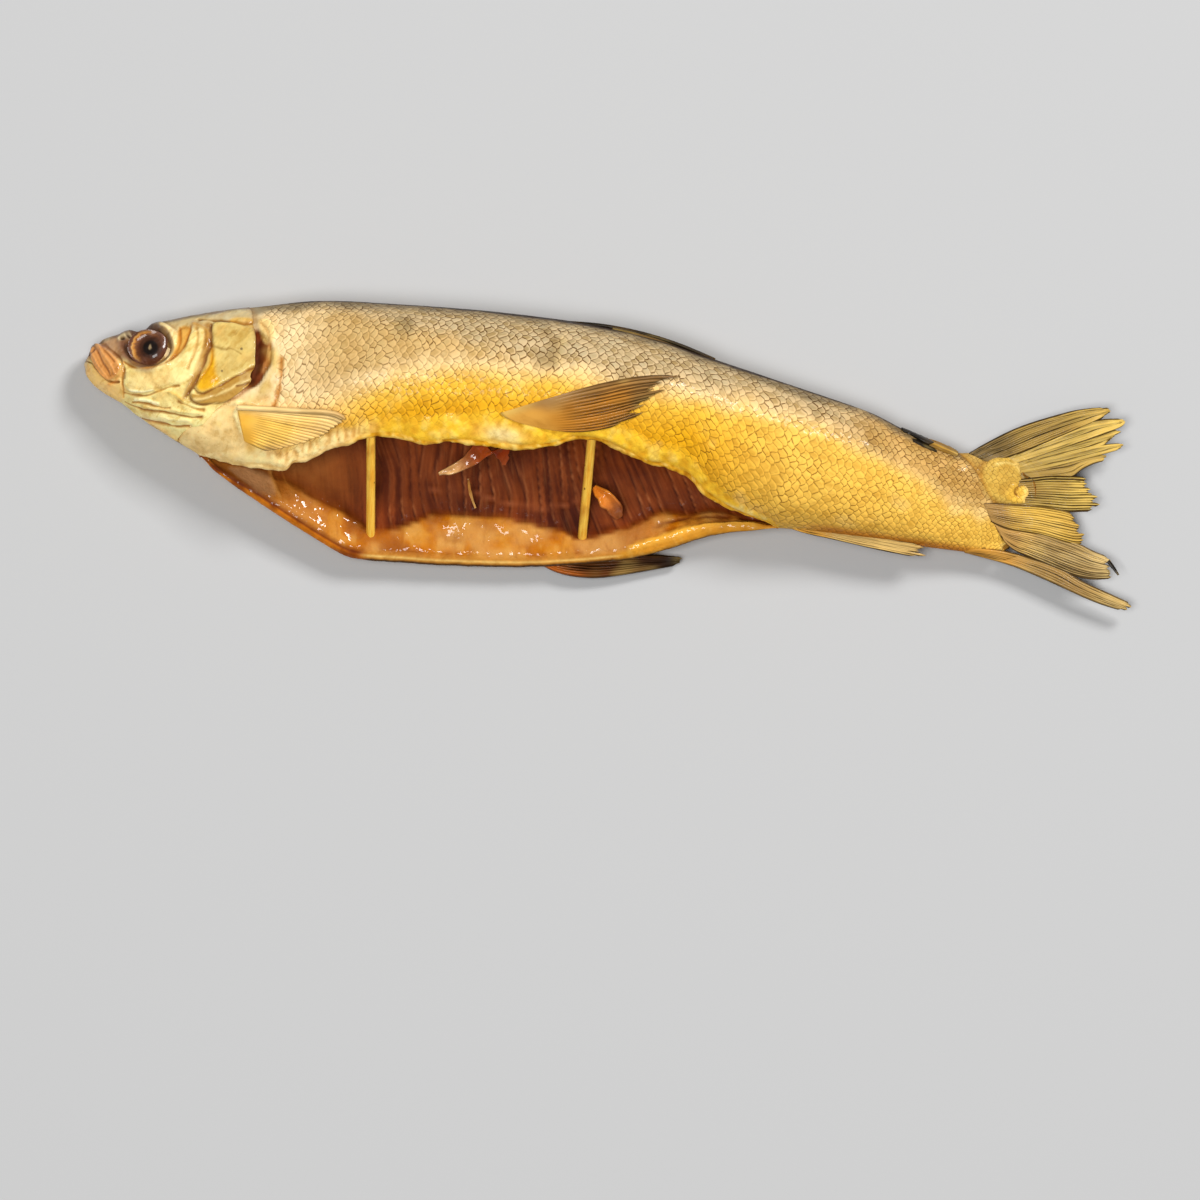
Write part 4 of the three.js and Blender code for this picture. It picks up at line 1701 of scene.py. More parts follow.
    def _lining(self, x: Array, y: Array, z: Array) -> tuple[Array, Array, Array]:
        """The belly's lining: muscle near the backbone and fat near the lower edge.

        Args:
            x: The points' x.
            y: Their y.
            z: Their z.

        Returns:
            The height, colour and mask.
        """
        line = rounded(self.fat_line, False)
        line_y = np.interp(x, line[:, 0], line[:, 1])
        border = y - line_y + Grain(9.0, 61, 2)(x, y) * 1.4
        fat = ease(1.3, -1.3, border) * ease(30, 20, z)
        cloud = Grain(13.0, 54, 3)(x, y)
        sheet = Skin(x, y, WALL)
        self._muscle(sheet, x, y, fat, cloud)
        # Painted shade high in the belly, under the overhanging upper flap.
        sheet.wash(ease(22, 27, z) * 0.8, DARK_WALL)
        sheet.wash(ease(-72, -96, x) * ease(-2, -15, y) * 0.8, rgb(158, 90, 34))
        sheet.wash(ease(-84, -104, x) * ease(0.0, 0.5, cloud) * 0.5, rgb(190, 130, 62))
        lump = Grain(6.5, 70, 2)(x, y)
        fat_tint = self._fat_tint(x, y, lump, cloud, border)
        sheet.tint = sheet.tint * (1 - fat[..., None]) + fat_tint * fat[..., None]
        sheet.height += 1.15 * fat + fat * (0.45 * lump + 0.2 * Grain(2.2, 72)(x, y)) + (1 - fat) * 0.35 * cloud
        sheet.lay(self.lining_features)
        damp = 0.16 * bell(y - line_y - 1.0, 1.6) * ease(-76, -56, x)
        wet = mix(damp, 0.75, fat)
        lines = (1 - fat) * (0.32 + 0.13 * ease(-90, -70, x))
        return sheet.height, sheet.tint, np.stack([np.zeros(x.shape), wet, lines], axis=-1)

    def _muscle(self, sheet: Skin, x: Array, y: Array, fat: Array, cloud: Array) -> None:
        """Lay the slanting bands of muscle on the wall of the belly, with grooves between them.

        Args:
            sheet: The lining.
            x: The points' x.
            y: Their y.
            fat: Where the fat covers the muscle.
            cloud: Wide unevenness.
        """
        level = np.zeros(x.shape)
        slant = self._slant(x, y)
        count = slant / 4.4 + 0.5 * Grain(6.0, 51)(slant, y * 0.3)
        band = np.floor(count)
        rib = count - band
        fleshy = (1 - fat) * ease(-84, -62, x)
        groove = bell(rib - 0.5, 0.07) * fleshy
        fibre = Grain(1.0, 52, 2)(slant * 0.75, y * 0.06)
        sheet.wash(ease(-0.2, 0.9, Grain(1.0, 57)(band * 1.7, level)) * fleshy * 0.5, rgb(150, 72, 28))
        sheet.wash(ease(0.1, 0.8, Grain(1.0, 58)(band * 1.7, level)) * fleshy * 0.5, DARK_WALL)
        sheet.wash(ease(-0.1, 0.75, fibre) * 0.35, rgb(152, 76, 30))
        sheet.wash(ease(0.1, -0.7, fibre + 0.4 * cloud) * 0.6, DARK_WALL)
        sheet.wash(ease(0.0, 0.6, Grain(11.0, 59, 2)(x, y)) * fleshy * 0.6, DARK_WALL)
        sheet.wash(ease(0.2, 0.8, cloud) * 0.4, rgb(136, 62, 26))
        sheet.wash(groove * (0.6 + 0.4 * cloud), rgb(62, 18, 5))
        sheet.wash(bell(rib - 0.95, 0.2) * fleshy * 0.4, rgb(154, 76, 32))
        sheet.wash(bell(rib - 0.63, 0.06) * fleshy * (0.35 + 0.6 * cloud), rgb(186, 110, 62))
        sheet.height += (1 - fat) * 0.05 * fibre - 0.12 * groove

    @staticmethod
    def _fat_tint(x: Array, y: Array, lump: Array, cloud: Array, border: Array) -> Array:
        """The colours of the belly's fat.

        Args:
            x: The points' x.
            y: Their y.
            lump: The fat's lumps.
            cloud: Wide unevenness.
            border: How far each point is above the fat's border.

        Returns:
            The colours.
        """
        fleck = Grain(3.4, 74, 3)(x, y)
        tint = Skin(x, y, BELLY_FAT)
        tint.wash(ease(0.05, 0.5, lump) * 0.8, rgb(200, 132, 44))
        tint.wash(ease(0.0, -0.5, lump) * 0.75, rgb(142, 74, 20))
        tint.wash(ease(0.1, 0.6, cloud) * 0.6, rgb(204, 114, 6))
        tint.wash(ease(0.1, 0.5, fleck) * 0.45, rgb(212, 154, 70))
        tint.wash(bell(x + 71, 7) * bell(y + 31, 3.5) * 0.75, rgb(130, 62, 18))
        tint.wash(ease(-13, -2, x) * ease(22, 12, x) * ease(-0.5, 0.2, lump) * 0.75, rgb(158, 98, 46))
        tint.wash(ease(0.1, 0.5, -fleck) * 0.5, rgb(150, 78, 20))
        tint.wash(ease(-0.05, 0.5, Grain(9.0, 76, 3)(x + 0.5 * y, y - 0.3 * x)) * 0.6, rgb(204, 146, 74))
        tint.wash(bell(Grain(8.0, 77, 2)(x, y), 0.07) * 0.25, rgb(140, 70, 12))
        tint.wash(ease(-78, -100, x) * 0.6, rgb(168, 96, 32))
        tint.wash(bell(border - 0.1, 0.5) * 0.7, rgb(120, 52, 16))
        return tint.tint

    def _rims(self, x: Array, y: Array, place: Array, columns: Array) -> tuple[Array, Array, Array]:
        """The rolled upper edge of the cut and the thin lower one.

        Args:
            x: The points' x.
            y: Their y.
            place: Their places across the rim.
            columns: Their zones.

        Returns:
            The height, colour and mask.
        """
        upper = columns == Zone.UPPER_RIM.value
        lump = Grain(4.2, 80, 2)(x, y)
        crumb = Grain(1.5, 82, 2)(x, y * 1.5)
        sheet = Skin(x, y, rgb(236, 176, 40))
        sheet.wash(ease(0.0, 0.7, lump) * 0.6, rgb(250, 212, 110))
        sheet.wash(ease(0.1, 0.6, crumb) * 0.5, rgb(255, 224, 130))
        sheet.wash(ease(0.1, 0.6, -crumb) * 0.4, rgb(206, 136, 24))
        sheet.wash(ease(-76, -90, x) * 0.8, rgb(246, 214, 148))
        sheet.wash(ease(0.30, 0.7, place + 0.1 * crumb) * 0.92, rgb(150, 78, 20))
        lower = Skin(x, y, rgb(222, 160, 72))
        lower.wash(bell(place - 0.20 - 0.03 * crumb, 0.07), rgb(255, 222, 140))
        lower.wash(ease(0.26, 0.34, place) * 0.9, rgb(214, 150, 62))
        # Painted shadow: the lip goes nearly black towards its far edge, where it turns under towards the
        # ground.
        lower.wash(ease(0.42, 0.52, place + 0.04 * crumb) * 0.9, rgb(58, 36, 18))
        lower.wash(ease(-72, -78, x), rgb(224, 136, 32))
        lower.wash(ease(-72, -78, x) * ease(0.0, 0.4, lump) * 0.85, rgb(140, 66, 16))
        lower.wash(ease(-72, -78, x) * ease(0.2, 0.0, place) * 0.8, rgb(110, 44, 12))
        lower.wash(ease(4, 9, x) * ease(0.75, 0.5, place), rgb(238, 176, 62))
        lower.wash(ease(4, 9, x) * ease(0.1, 0.6, crumb) * ease(0.75, 0.5, place) * 0.5, rgb(250, 206, 110))
        tint = np.where(upper[..., None], sheet.tint, lower.tint)
        height = np.where(upper, 0.45 * lump + 0.28 * crumb, 0.2 * lump + 0.1 * crumb)
        wet = np.full(x.shape, 0.35)
        return height, tint, np.stack([np.zeros(x.shape), wet, np.zeros(x.shape)], axis=-1)


# ---- the head


@dataclass
class Head:
    """The head with its jaws, cheeks and gill covers, the same on both sides."""

    shape: BodyShape
    nose: float = -172.0
    stations: int = 236
    left_steps: int = 168
    right_steps: int = 84
    rear_edge: tuple[Point, ...] = (
        (-122, 33), (-119.5, 29), (-119, 26.5), (-118, 23.5), (-117, 20), (-116.5, 14), (-116, 11.6),
        (-117.4, 8.6), (-116.4, 7), (-118, 4.8), (-122, 2.4), (-126.5, -0.2), (-129.5, -4.4), (-131.6, -6.6),
        (-134.6, -8.6), (-136.6, -12), (-138, -16),
    )
    plates: tuple[Plate, ...] = (
        Plate(
            ((-174, 5), (-168, 9), (-158, 8), (-150, 24), (-160, 30), (-176, 16)),
            0.0, rgb(176, 128, 92), 1.6, 0.9,
        ),
        Plate(
            ((-174, 5.5), (-170, 6.6), (-166, 4.9), (-162.5, 2.6), (-158.4, 2.6), (-156.8, 0.2),
             (-158, -5), (-164, -5), (-172, 0)),
            0.25, rgb(255, 208, 124), 0.7, 0.95, 0.3,
        ),
        Plate(
            ((-170.2, 12.4), (-167.6, 13), (-163.8, 11), (-160.6, 8.6), (-159.4, 6.2), (-160.4, 3.4),
             (-162.6, 2), (-165.2, 3), (-168, 5.6), (-170.2, 8.6)),
            0.85, rgb(222, 150, 80), 0.45, 0.95, 0.4,
        ),
        Plate(
            ((-150.6, 22.6), (-147, 21.8), (-143, 20), (-142.9, 17), (-145.6, 15.2), (-147.2, 17.2)),
            0.45, rgb(250, 220, 150), 0.45, 0.9, 0.5,
        ),
        Plate(
            ((-143.8, 21.8), (-139.6, 23), (-139.2, 19), (-140.3, 13.9), (-142.6, 10.6), (-145.2, 10.6),
             (-142.8, 16.5)),
            -0.35, rgb(216, 158, 66), 0.5, 0.95,
        ),
        Plate(
            ((-158.4, 6.6), (-153.9, 7), (-148.3, 8.9), (-144, 10.7), (-140.2, 15.9), (-139, 21.4),
             (-135.8, 22.4), (-134, 20), (-135.8, 10.6), (-137.6, 5.2), (-144.5, 3.3), (-149, 0.6),
             (-156.8, -0.5), (-158.6, 3.2)),
            0.55, rgb(255, 226, 148), 0.7, 0.95, 0.3,
        ),
        Plate(
            ((-135.6, 24.6), (-132.4, 25), (-131.2, 18), (-132.4, 12), (-134.4, 6), (-136.6, 0.5),
             (-138.6, -0.6), (-137, 4), (-135, 10), (-133.8, 17)),
            -0.15, rgb(166, 116, 48), 0.7, 0.85,
        ),
        Plate(
            ((-132.7, 24), (-131.4, 25.6), (-128.3, 25.2), (-123.9, 25.5), (-120, 25), (-117.6, 22.2),
             (-116.2, 17.9), (-115.8, 13.5), (-122.6, 9), (-128.3, 4.6), (-132.9, 1.7), (-135.4, 3.6),
             (-133.8, 8), (-131.4, 12.3), (-131.6, 17.2), (-132.9, 20.5)),
            0.7, rgb(216, 186, 106), 0.5, 0.95, 0.1,
        ),
        Plate(
            ((-132, 18), (-129.8, 14), (-129.4, 9), (-126.8, 6.6), (-131.4, 2.6), (-135.2, 3.6),
             (-133.6, 8), (-131.6, 12.3)),
            -0.1, rgb(238, 176, 18), 1.1, 0.98,
        ),
        Plate(
            ((-136.2, 1.9), (-135.4, -0.9), (-130.9, -1.3), (-126.2, 0.2), (-121.5, 2.2), (-117.4, 4.6),
             (-116, 7.1), (-118.2, 7.9), (-115.8, 11.6), (-116.6, 13), (-122.9, 8.9), (-128.3, 4.4),
             (-132.8, 1.5)),
            0.55, rgb(176, 122, 30), 0.35, 0.9, 0.2,
        ),
        Plate(
            ((-136.2, 25.6), (-130.3, 28.6), (-121.4, 31.6), (-117.2, 29.4), (-118.6, 26.5),
             (-126.4, 25.9), (-132.8, 25.7)),
            0.3, rgb(206, 186, 138), 0.45, 0.85,
        ),
    )
    folds: tuple[Fold, ...] = (
        Fold(
            ((-173, 6.6), (-170, 6.9), (-167.8, 5.4), (-165.4, 3.4), (-162.6, 1.6), (-159.8, 1.9)),
            0.33, -0.7, rgb(92, 44, 22), 0.8,
        ),
        Fold(((-171.8, 9.2), (-170, 8.9), (-168.9, 10.6)), 0.35, -0.5, rgb(104, 60, 40), 0.7),
        Fold(
            ((-169.2, 11.8), (-166.6, 9.4), (-164.4, 6.4), (-162.4, 3.6)),
            0.32, -0.25, rgb(150, 92, 50), 0.6,
        ),
        Fold(((-168, 12.4), (-165.2, 9.9), (-163, 7.4), (-161, 4.4)), 0.35, 0.25, rgb(222, 160, 96), 0.45),
        Fold(((-167, 12.6), (-164.2, 10.4), (-161.8, 8)), 0.28, -0.25, rgb(150, 92, 50), 0.6),
        Fold(((-169.8, 9.8), (-167.6, 7.4), (-165.2, 4.8), (-163.2, 3)), 0.35, 0.25, rgb(216, 154, 92), 0.45),
        Fold(
            ((-170, 13.2), (-167.4, 13.6), (-163.6, 11.8), (-160.2, 9.4), (-158.4, 6.6), (-158, 3.4)),
            0.4, -0.3, rgb(126, 78, 52), 0.6,
        ),
        Fold(((-159.2, 8.4), (-159, 5.6), (-160.2, 2.4), (-162.6, 1.2)), 0.5, 0.3, rgb(214, 136, 56), 0.7),
        Fold(((-158.6, 6.2), (-158.9, 3), (-157.8, 0.2), (-157.6, -2.6)), 0.4, -0.35, rgb(206, 136, 44), 0.7),
        Fold(((-161.6, 15.4), (-160.6, 16.6), (-158.8, 17.4)), 0.55, 0.35, rgb(238, 214, 160), 0.85),
        Fold(((-160.9, 15.6), (-160.3, 15.9)), 0.42, -0.9, rgb(52, 28, 18), 0.95),
        Fold(((-159.2, 16.9), (-158.8, 17)), 0.36, -0.8, rgb(52, 28, 18), 0.95),
        Fold(
            ((-143, 21.6), (-141.8, 17), (-143.4, 12.4), (-145.6, 9.8), (-150.2, 7.6), (-155, 6.9),
             (-158.8, 8.6)),
            0.35, -0.35, rgb(196, 132, 48), 0.7,
        ),
        Fold(
            ((-145.6, 10.4), (-141.6, 13.6), (-139.9, 18.4), (-139.7, 22.6)),
            0.35, -0.3, rgb(188, 120, 36), 0.6,
        ),
        Fold(
            ((-138.8, 23.4), (-134.2, 22.6), (-132.9, 18.9), (-134.4, 13.6), (-135.7, 8.6), (-137.4, 2.4),
             (-138.6, -0.6)),
            0.75, 0.5, rgb(184, 130, 54), 0.8,
        ),
        Fold(
            ((-133.2, 24.2), (-131.9, 19.2), (-132.8, 15), (-134.2, 8.9), (-135.9, 3.6), (-137.4, 0.6)),
            0.42, -0.65, rgb(142, 102, 62), 0.8,
        ),
        Fold(((-137.6, 22), (-136, 18.6), (-136.9, 13.8), (-138.2, 9.4)), 0.5, -0.3, rgb(206, 158, 80), 0.5),
        Fold(
            ((-131.6, 17.6), (-130.6, 13.6), (-132.6, 8.4), (-135, 4.6)),
            0.45, -0.4, rgb(204, 128, 24), 0.7,
        ),
        Fold(
            ((-131.2, 17.2), (-127.6, 16.6), (-125.2, 17.6), (-122.2, 16.2)),
            0.3, -0.2, rgb(150, 126, 72), 0.5,
        ),
        Fold(
            ((-116.2, 12.9), (-122.6, 8.9), (-128.2, 4.5), (-132.8, 1.5), (-135.6, 3.4)),
            0.32, -0.6, rgb(140, 88, 30), 0.85,
        ),
        Fold(((-118.6, 8.4), (-124, 4.6), (-130, 0.9), (-134.6, 0)), 0.5, 0.25, rgb(252, 224, 146), 0.6),
        Fold(((-118.2, 7.8), (-121.8, 5.8)), 0.3, -0.5, rgb(130, 78, 28), 0.8),
        Fold(
            ((-136.6, 2), (-135.8, -1), (-131, -1.5), (-126.2, 0), (-121.4, 2)),
            0.32, -0.5, rgb(132, 74, 22), 0.8,
        ),
        Fold(
            ((-137.4, 25), (-133, 25.7), (-126.2, 25.9), (-118.8, 26.6), (-117.8, 28.6)),
            0.38, -0.5, rgb(142, 104, 48), 0.8,
        ),
        Fold(((-120, 30), (-119.6, 26.5), (-118.6, 23.5), (-117.6, 20)), 0.55, -0.5, rgb(160, 112, 60), 0.7),
        Fold(((-126.6, 26), (-123, 27.6), (-119, 27)), 0.7, 0.3, rgb(226, 176, 70), 0.7),
        Fold(
            ((-157.4, -1.2), (-152.7, -1.4), (-148.9, -0.8), (-144.2, 2.4), (-140.5, 3.6)),
            0.45, -0.55, rgb(178, 108, 30), 0.8,
        ),
        Fold(((-156.2, 0.3), (-152, 0.1), (-148.2, 0.9)), 0.4, 0.45, rgb(255, 240, 196), 0.8),
        Fold(((-153.6, -2.6), (-150, -2.3), (-146.4, -3)), 0.55, 0.45, rgb(255, 238, 190), 0.8),
        Fold(
            ((-154.6, -3.6), (-150.4, -3.4), (-146.2, -4.2), (-142.4, -4)),
            0.35, -0.5, rgb(176, 100, 26), 0.8,
        ),
        Fold(((-147.4, 0.6), (-143, 1.4), (-140, 0.2), (-138, -1.4)), 0.7, 0.4, rgb(246, 198, 92), 0.7),
        Fold(
            ((-157, -4), (-151.1, -5.6), (-144.2, -5.4), (-136.2, -6), (-131.6, -5.4)),
            0.32, -0.5, rgb(168, 96, 28), 0.85,
        ),
        Fold(((-150.6, -4.6), (-144, -4.2), (-137, -4.6), (-132.4, -4)), 0.6, 0.45, rgb(250, 216, 136), 0.7),
        Fold(((-139.8, -1.6), (-135.6, -2.8), (-131.4, -3)), 0.4, -0.4, rgb(190, 120, 34), 0.7),
        Fold(
            ((-154.3, -7), (-147.7, -7.4), (-140.6, -7.4), (-135.2, -7)),
            0.7, 0.45, rgb(252, 226, 160), 0.7,
        ),
        Fold(
            ((-152, -8.4), (-146.5, -8.9), (-139.6, -9.6), (-135, -8.8)),
            0.35, -0.45, rgb(186, 112, 40), 0.8,
        ),
        Fold(((-148.2, -9.6), (-142.6, -11.4), (-137.6, -14.4)), 0.5, 0.3, rgb(244, 190, 108), 0.7),
    )
    eye: Point = (-152.2, 14.7)
    eye_size: Point = (8.0, 6.9)
    under_shade: float = 0.88
    border_x: float = -122.0
    snout_length: float = 1.2
    turns: tuple[Point, ...] = ((0.3, 0.12), (0.9, 0.0), (1.6, -0.8), (2.2, -2.4))

    def build(self) -> bpy.types.Object:
        """Make the head, dressed.

        Returns:
            The head.
        """
        points, side = self._ring()
        x, y, z = np.moveaxis(points, 2, 0)
        skin = self._features(x, y, z)
        height = skin.height
        normal = surface_normals(points)
        spread = ease(-172.0, -170.2, x)
        points = points - normal * (height * spread * self._inner_fade())[..., None]
        points = self._turn_in(points, normal)
        points[..., 0] = np.maximum(points[..., 0], self.nose)
        points[..., 2] = np.maximum(points[..., 2], 0.0)
        points[:, -1] = points[:, 0]
        points[0] = points[0].mean(axis=0)
        # Painted shade in the head's hollows and painted highlight on its crests, from its relief.
        tint = painted_relief_shading(skin.tint, height, 1.6) * np.where(side, self.under_shade, 1.0)[..., None]
        mask = np.stack([0.35 + np.clip(skin.gloss, 0, 0.6), self._freckles(x, y), np.zeros(x.shape)], axis=-1)
        pattern = np.stack([x, y], axis=-1)
        piece = Sheet("head", points, tint, mask, pattern).build(close=True)
        finish_piece(piece, HEAD_SKIN, "fish")
        return piece

    def _ring(self) -> tuple[Array, Array]:
        """The head's smooth surface.

        Returns:
            The points, and whether each is on the right side.
        """
        right = np.linspace(1, 0, self.right_steps + 1)[:-1]
        left = np.linspace(0, 1, self.left_steps + 1)
        share = np.concatenate([right, left])
        is_right = np.concatenate([np.ones(len(right), bool), np.zeros(len(left), bool)])
        edge = rounded(self.rear_edge, False, 1)
        at = np.array([self.border_x])
        line = bezier(self.shape.flank(at, Side.LEFT)[:, None], share[None])[0, :, 0]
        rear_x = np.interp(line, edge[::-1, 1], edge[::-1, 0])
        u = np.linspace(0, 1, self.stations + 1)[:, None]
        x = self.nose + (rear_x[None] - self.nose) * (0.9 * u + 0.1 * u**2)
        t = np.broadcast_to(share[None], x.shape)
        left_ring = bezier(self.shape.flank(x, Side.LEFT), t)
        right_ring = bezier(self.shape.flank(x, Side.RIGHT), t)
        ring = np.where(is_right[None, :, None], right_ring, left_ring)
        middle = ring.mean(axis=1, keepdims=True)
        blunt = np.sqrt(np.clip((x - self.nose) / self.snout_length, 0, 1))[..., None]
        ring = middle + (ring - middle) * blunt
        return np.concatenate([x[..., None], ring], axis=2), np.broadcast_to(is_right, x.shape)

    def _inner_fade(self) -> Array:
        """Less relief where the two flanks meet under the throat.

        Returns:
            The share of the relief kept, column by column.
        """
        right = np.linspace(1, 0, self.right_steps + 1)[:-1]
        share = np.concatenate([right, np.linspace(0, 1, self.left_steps + 1)])
        return (ease(1.0, 0.94, share) * 0.9 + 0.1)[None]

    def _features(self, x: Array, y: Array, z: Array) -> Skin:
        """Every bone, fold and opening of the head, laid on in order.

        Args:
            x: The points' x.
            y: Their y.
            z: Their z.

        Returns:
            The skin.
        """
        skin = Skin(x, y, rgb(255, 232, 152))
        cloud = Grain(5.0, 100, 3)(x, y, z)
        fine = Grain(1.6, 104, 2)(x, y, z)
        crown = ease(0.7, 2.4, y - np.interp(x, [-160, -140, -118], [11, 20, 27])) * ease(-160, -146, x)
        skin.wash(crown * 0.8, rgb(190, 162, 112))
        skin.lay(self.plates)
        orbit = np.hypot((x - self.eye[0]) / self.eye_size[0], (y - self.eye[1]) / self.eye_size[1])
        skin.height += 0.35 * bell(orbit - 1.10, 0.13) - 2.2 * ease(1.0, 0.80, orbit)
        skin.wash(ease(1.34, 1.02, orbit + 0.12 * cloud) * ease(-146.5, -151, x) * 0.8, rgb(120, 76, 54))
        skin.wash(ease(1.10, 0.98, orbit + 0.1 * cloud) * 0.8, rgb(100, 62, 42))
        skin.lay(self.folds)
        rear = path_distance(x, y, rounded(self.rear_edge, False, 1), False)
        skin.wash(bell(rear, 1.2) * ease(12, 20, y) * 0.75, rgb(136, 98, 54))
        back = self.shape.back_y(x) - y
        skin.wash(ease(1.5, 0.3, back) * 0.75, rgb(84, 60, 44))
        skin.wash(ease(0.1, 0.8, cloud) * 0.3, rgb(250, 224, 160))
        skin.wash(ease(0.1, 0.8, -cloud) * 0.35, rgb(206, 146, 62))
        skin.height += 0.16 * cloud + 0.07 * fine + 0.25
        return skin

    def _freckles(self, x: Array, y: Array) -> Array:
        """Where the gill cover and the crown are freckled.

        Args:
            x: The points' x.
            y: Their y.

        Returns:
            How freckled they are, 0 to 1.
        """
        cover = depth_inside(x, y, np.array([(-131, 24), (-118, 24), (-117, 14), (-126, 8), (-131, 12)]))
        crown = ease(24, 27, y)
        return np.clip(ease(-1, 1, cover) + 0.7 * crown, 0, 1)

    def _turn_in(self, points: Array, normal: Array) -> Array:
        """Turn the rear edge in, so that the gill covers have thickness and the crown runs into the trunk.

        Args:
            points: The points.
            normal: Their inward normals.

        Returns:
            The points with the last ones turned in.
        """
        turned = points.copy()
        edge = self.stations - len(self.turns)
        for k, (inward, forward) in enumerate(self.turns):
            turned[edge + 1 + k] = points[edge] + normal[edge] * inward
            turned[edge + 1 + k, :, 0] += forward
        return turned


@dataclass
class Eye:
    """One eye: a flattened ball under the skin's rim, with its ring and pupil."""

    shape: BodyShape
    side: Side
    centre: Point = (-151.8, 14.0)
    size: tuple[float, float, float] = (6.9, 6.0, 0.9)
    pupil: Point = (0.5, 0.2)
    pupil_size: float = 2.6
    bowl_depth: float = 3.6
    sunk: float = 1.15
    bulge: float = 0.30
    around: int = 128
    steps: int = 56

    def build(self) -> bpy.types.Object:
        """Make the eye, dressed.

        Returns:
            The eye.
        """
        a = np.linspace(0, 2 * math.pi, self.around + 1)[:, None]
        r = np.sin(np.linspace(0, 1, self.steps + 1) * math.pi)[None]
        lift = np.cos(np.linspace(0, 1, self.steps + 1) * math.pi)[None]
        dx, dy = r * np.cos(a) * self.size[0], r * np.sin(a) * self.size[1]
        bulge = self.bulge * np.exp(-((dx - self.pupil[0]) ** 2 + (dy - self.pupil[1]) ** 2) / 14)
        middle, tilt = self._seat(dx, dy)
        z = middle - self.side.value * self.sunk + tilt * lift**2 * 0.9
        deep = np.where(lift > 0, self.size[2], self.bowl_depth)
        z = z + self.side.value * (lift * deep + bulge * (lift > 0))
        x, y = self.centre[0] + dx, self.centre[1] + dy
        points = np.stack([x, y, np.maximum(z, 0.05)], axis=-1)
        if self.side is Side.RIGHT:
            points = points[::-1]
        tint = self._paint(points[..., 0] - self.centre[0], points[..., 1] - self.centre[1])
        blank = np.zeros(points.shape)
        name = "eye_left" if self.side is Side.LEFT else "eye_right"
        piece = Sheet(name, points, tint, blank, blank[..., :2]).build(close=True)
        finish_piece(piece, EYE, "fish")
        return piece

    def _seat(self, dx: Array, dy: Array) -> tuple[float, Array]:
        """How the skin lies at the eye.

        Args:
            dx: The points' x from the eye's centre.
            dy: Their y from it.

        Returns:
            The skin's height at the centre, and how much higher its slope is at each point.
        """
        reach = 4.0
        ends = np.array([-reach, 0.0, reach, 0.0, 0.0])
        heights = self.shape.height(self.centre[0] + ends, self.centre[1] + np.roll(ends, 1), self.side)
        left, low, right, high, middle = heights
        return middle, dx * (right - left) / (2 * reach) + dy * (high - low) / (2 * reach)

    def _paint(self, x: Array, y: Array) -> Array:
        """The eye's colours from its centre outwards.

        Args:
            x: The points' x from the eye's centre.
            y: Their y from it.

        Returns:
            The colours.
        """
        skin = Skin(x, y, rgb(112, 70, 48))
        outer = np.hypot(x / self.size[0], y / self.size[1])
        px, py = x - self.pupil[0], (y - self.pupil[1]) * 1.06
        ring = np.hypot(px, py)
        angle = np.arctan2(py, px)
        blur = Grain(1.9, 131, 2)(x, y)
        streak = Grain(0.9, 130)(np.cos(angle) * 9, np.sin(angle) * 9, ring * 0.5)
        skin.wash(ease(0.70, 0.95, outer + 0.12 * blur) * 0.7, rgb(92, 56, 42))
        skin.wash(ease(1, 5, x) * ease(0, 4, y + blur) * 0.7, rgb(136, 92, 72))
        skin.wash(ease(0.45, 0.9, -y / 6) * ease(0.0, 0.6, blur) * 0.6, rgb(140, 100, 84))
        skin.wash(ease(5.8, 5.0, ring + 0.4 * streak) * 0.85, rgb(84, 44, 22))
        left = ease(-0.1, 0.75, -np.cos(angle + 0.35)) * ease(1.0, 0.8, outer)
        skin.wash(bell(ring - 5.6 - 0.5 * streak, 0.55) * left * 0.85, rgb(204, 134, 50))
        # Painted highlight: a thin pale arc just outside the golden crescent.
        skin.wash(bell(ring - 6.0 - 0.4 * streak, 0.2) * left * 0.5, rgb(244, 196, 112))
        above = ease(0.2, 0.95, np.sin(angle - 0.7))
        skin.wash(bell(ring - 4.6 - 0.4 * streak, 0.3) * above * 0.5, rgb(150, 92, 44))
        skin.wash(ease(4.1, 3.2, ring + 0.3 * blur) * 0.8, rgb(60, 32, 18))
        skin.wash(ease(self.pupil_size + 0.3, self.pupil_size - 0.5, ring), rgb(22, 12, 8))
        # Painted glint: a pale streak in the middle of the pupil.
        skin.wash(ease(0.5, 0.2, np.hypot(px + 0.2, (py - 0.2) * 0.45) + 0.3 * blur) * 0.7, rgb(176, 150, 110))
        return skin.tint


# ---- the fins


@dataclass(frozen=True)
class FinColours:
    """A fin's colours from its root to its tip, and how strongly its rays and the lines between them show."""

    root: Colour
    middle: Colour
    tip: Colour
    rays: float = 0.5
    lines: float = 0.9
    bare: float = -0.3
    edge: Colour | None = None


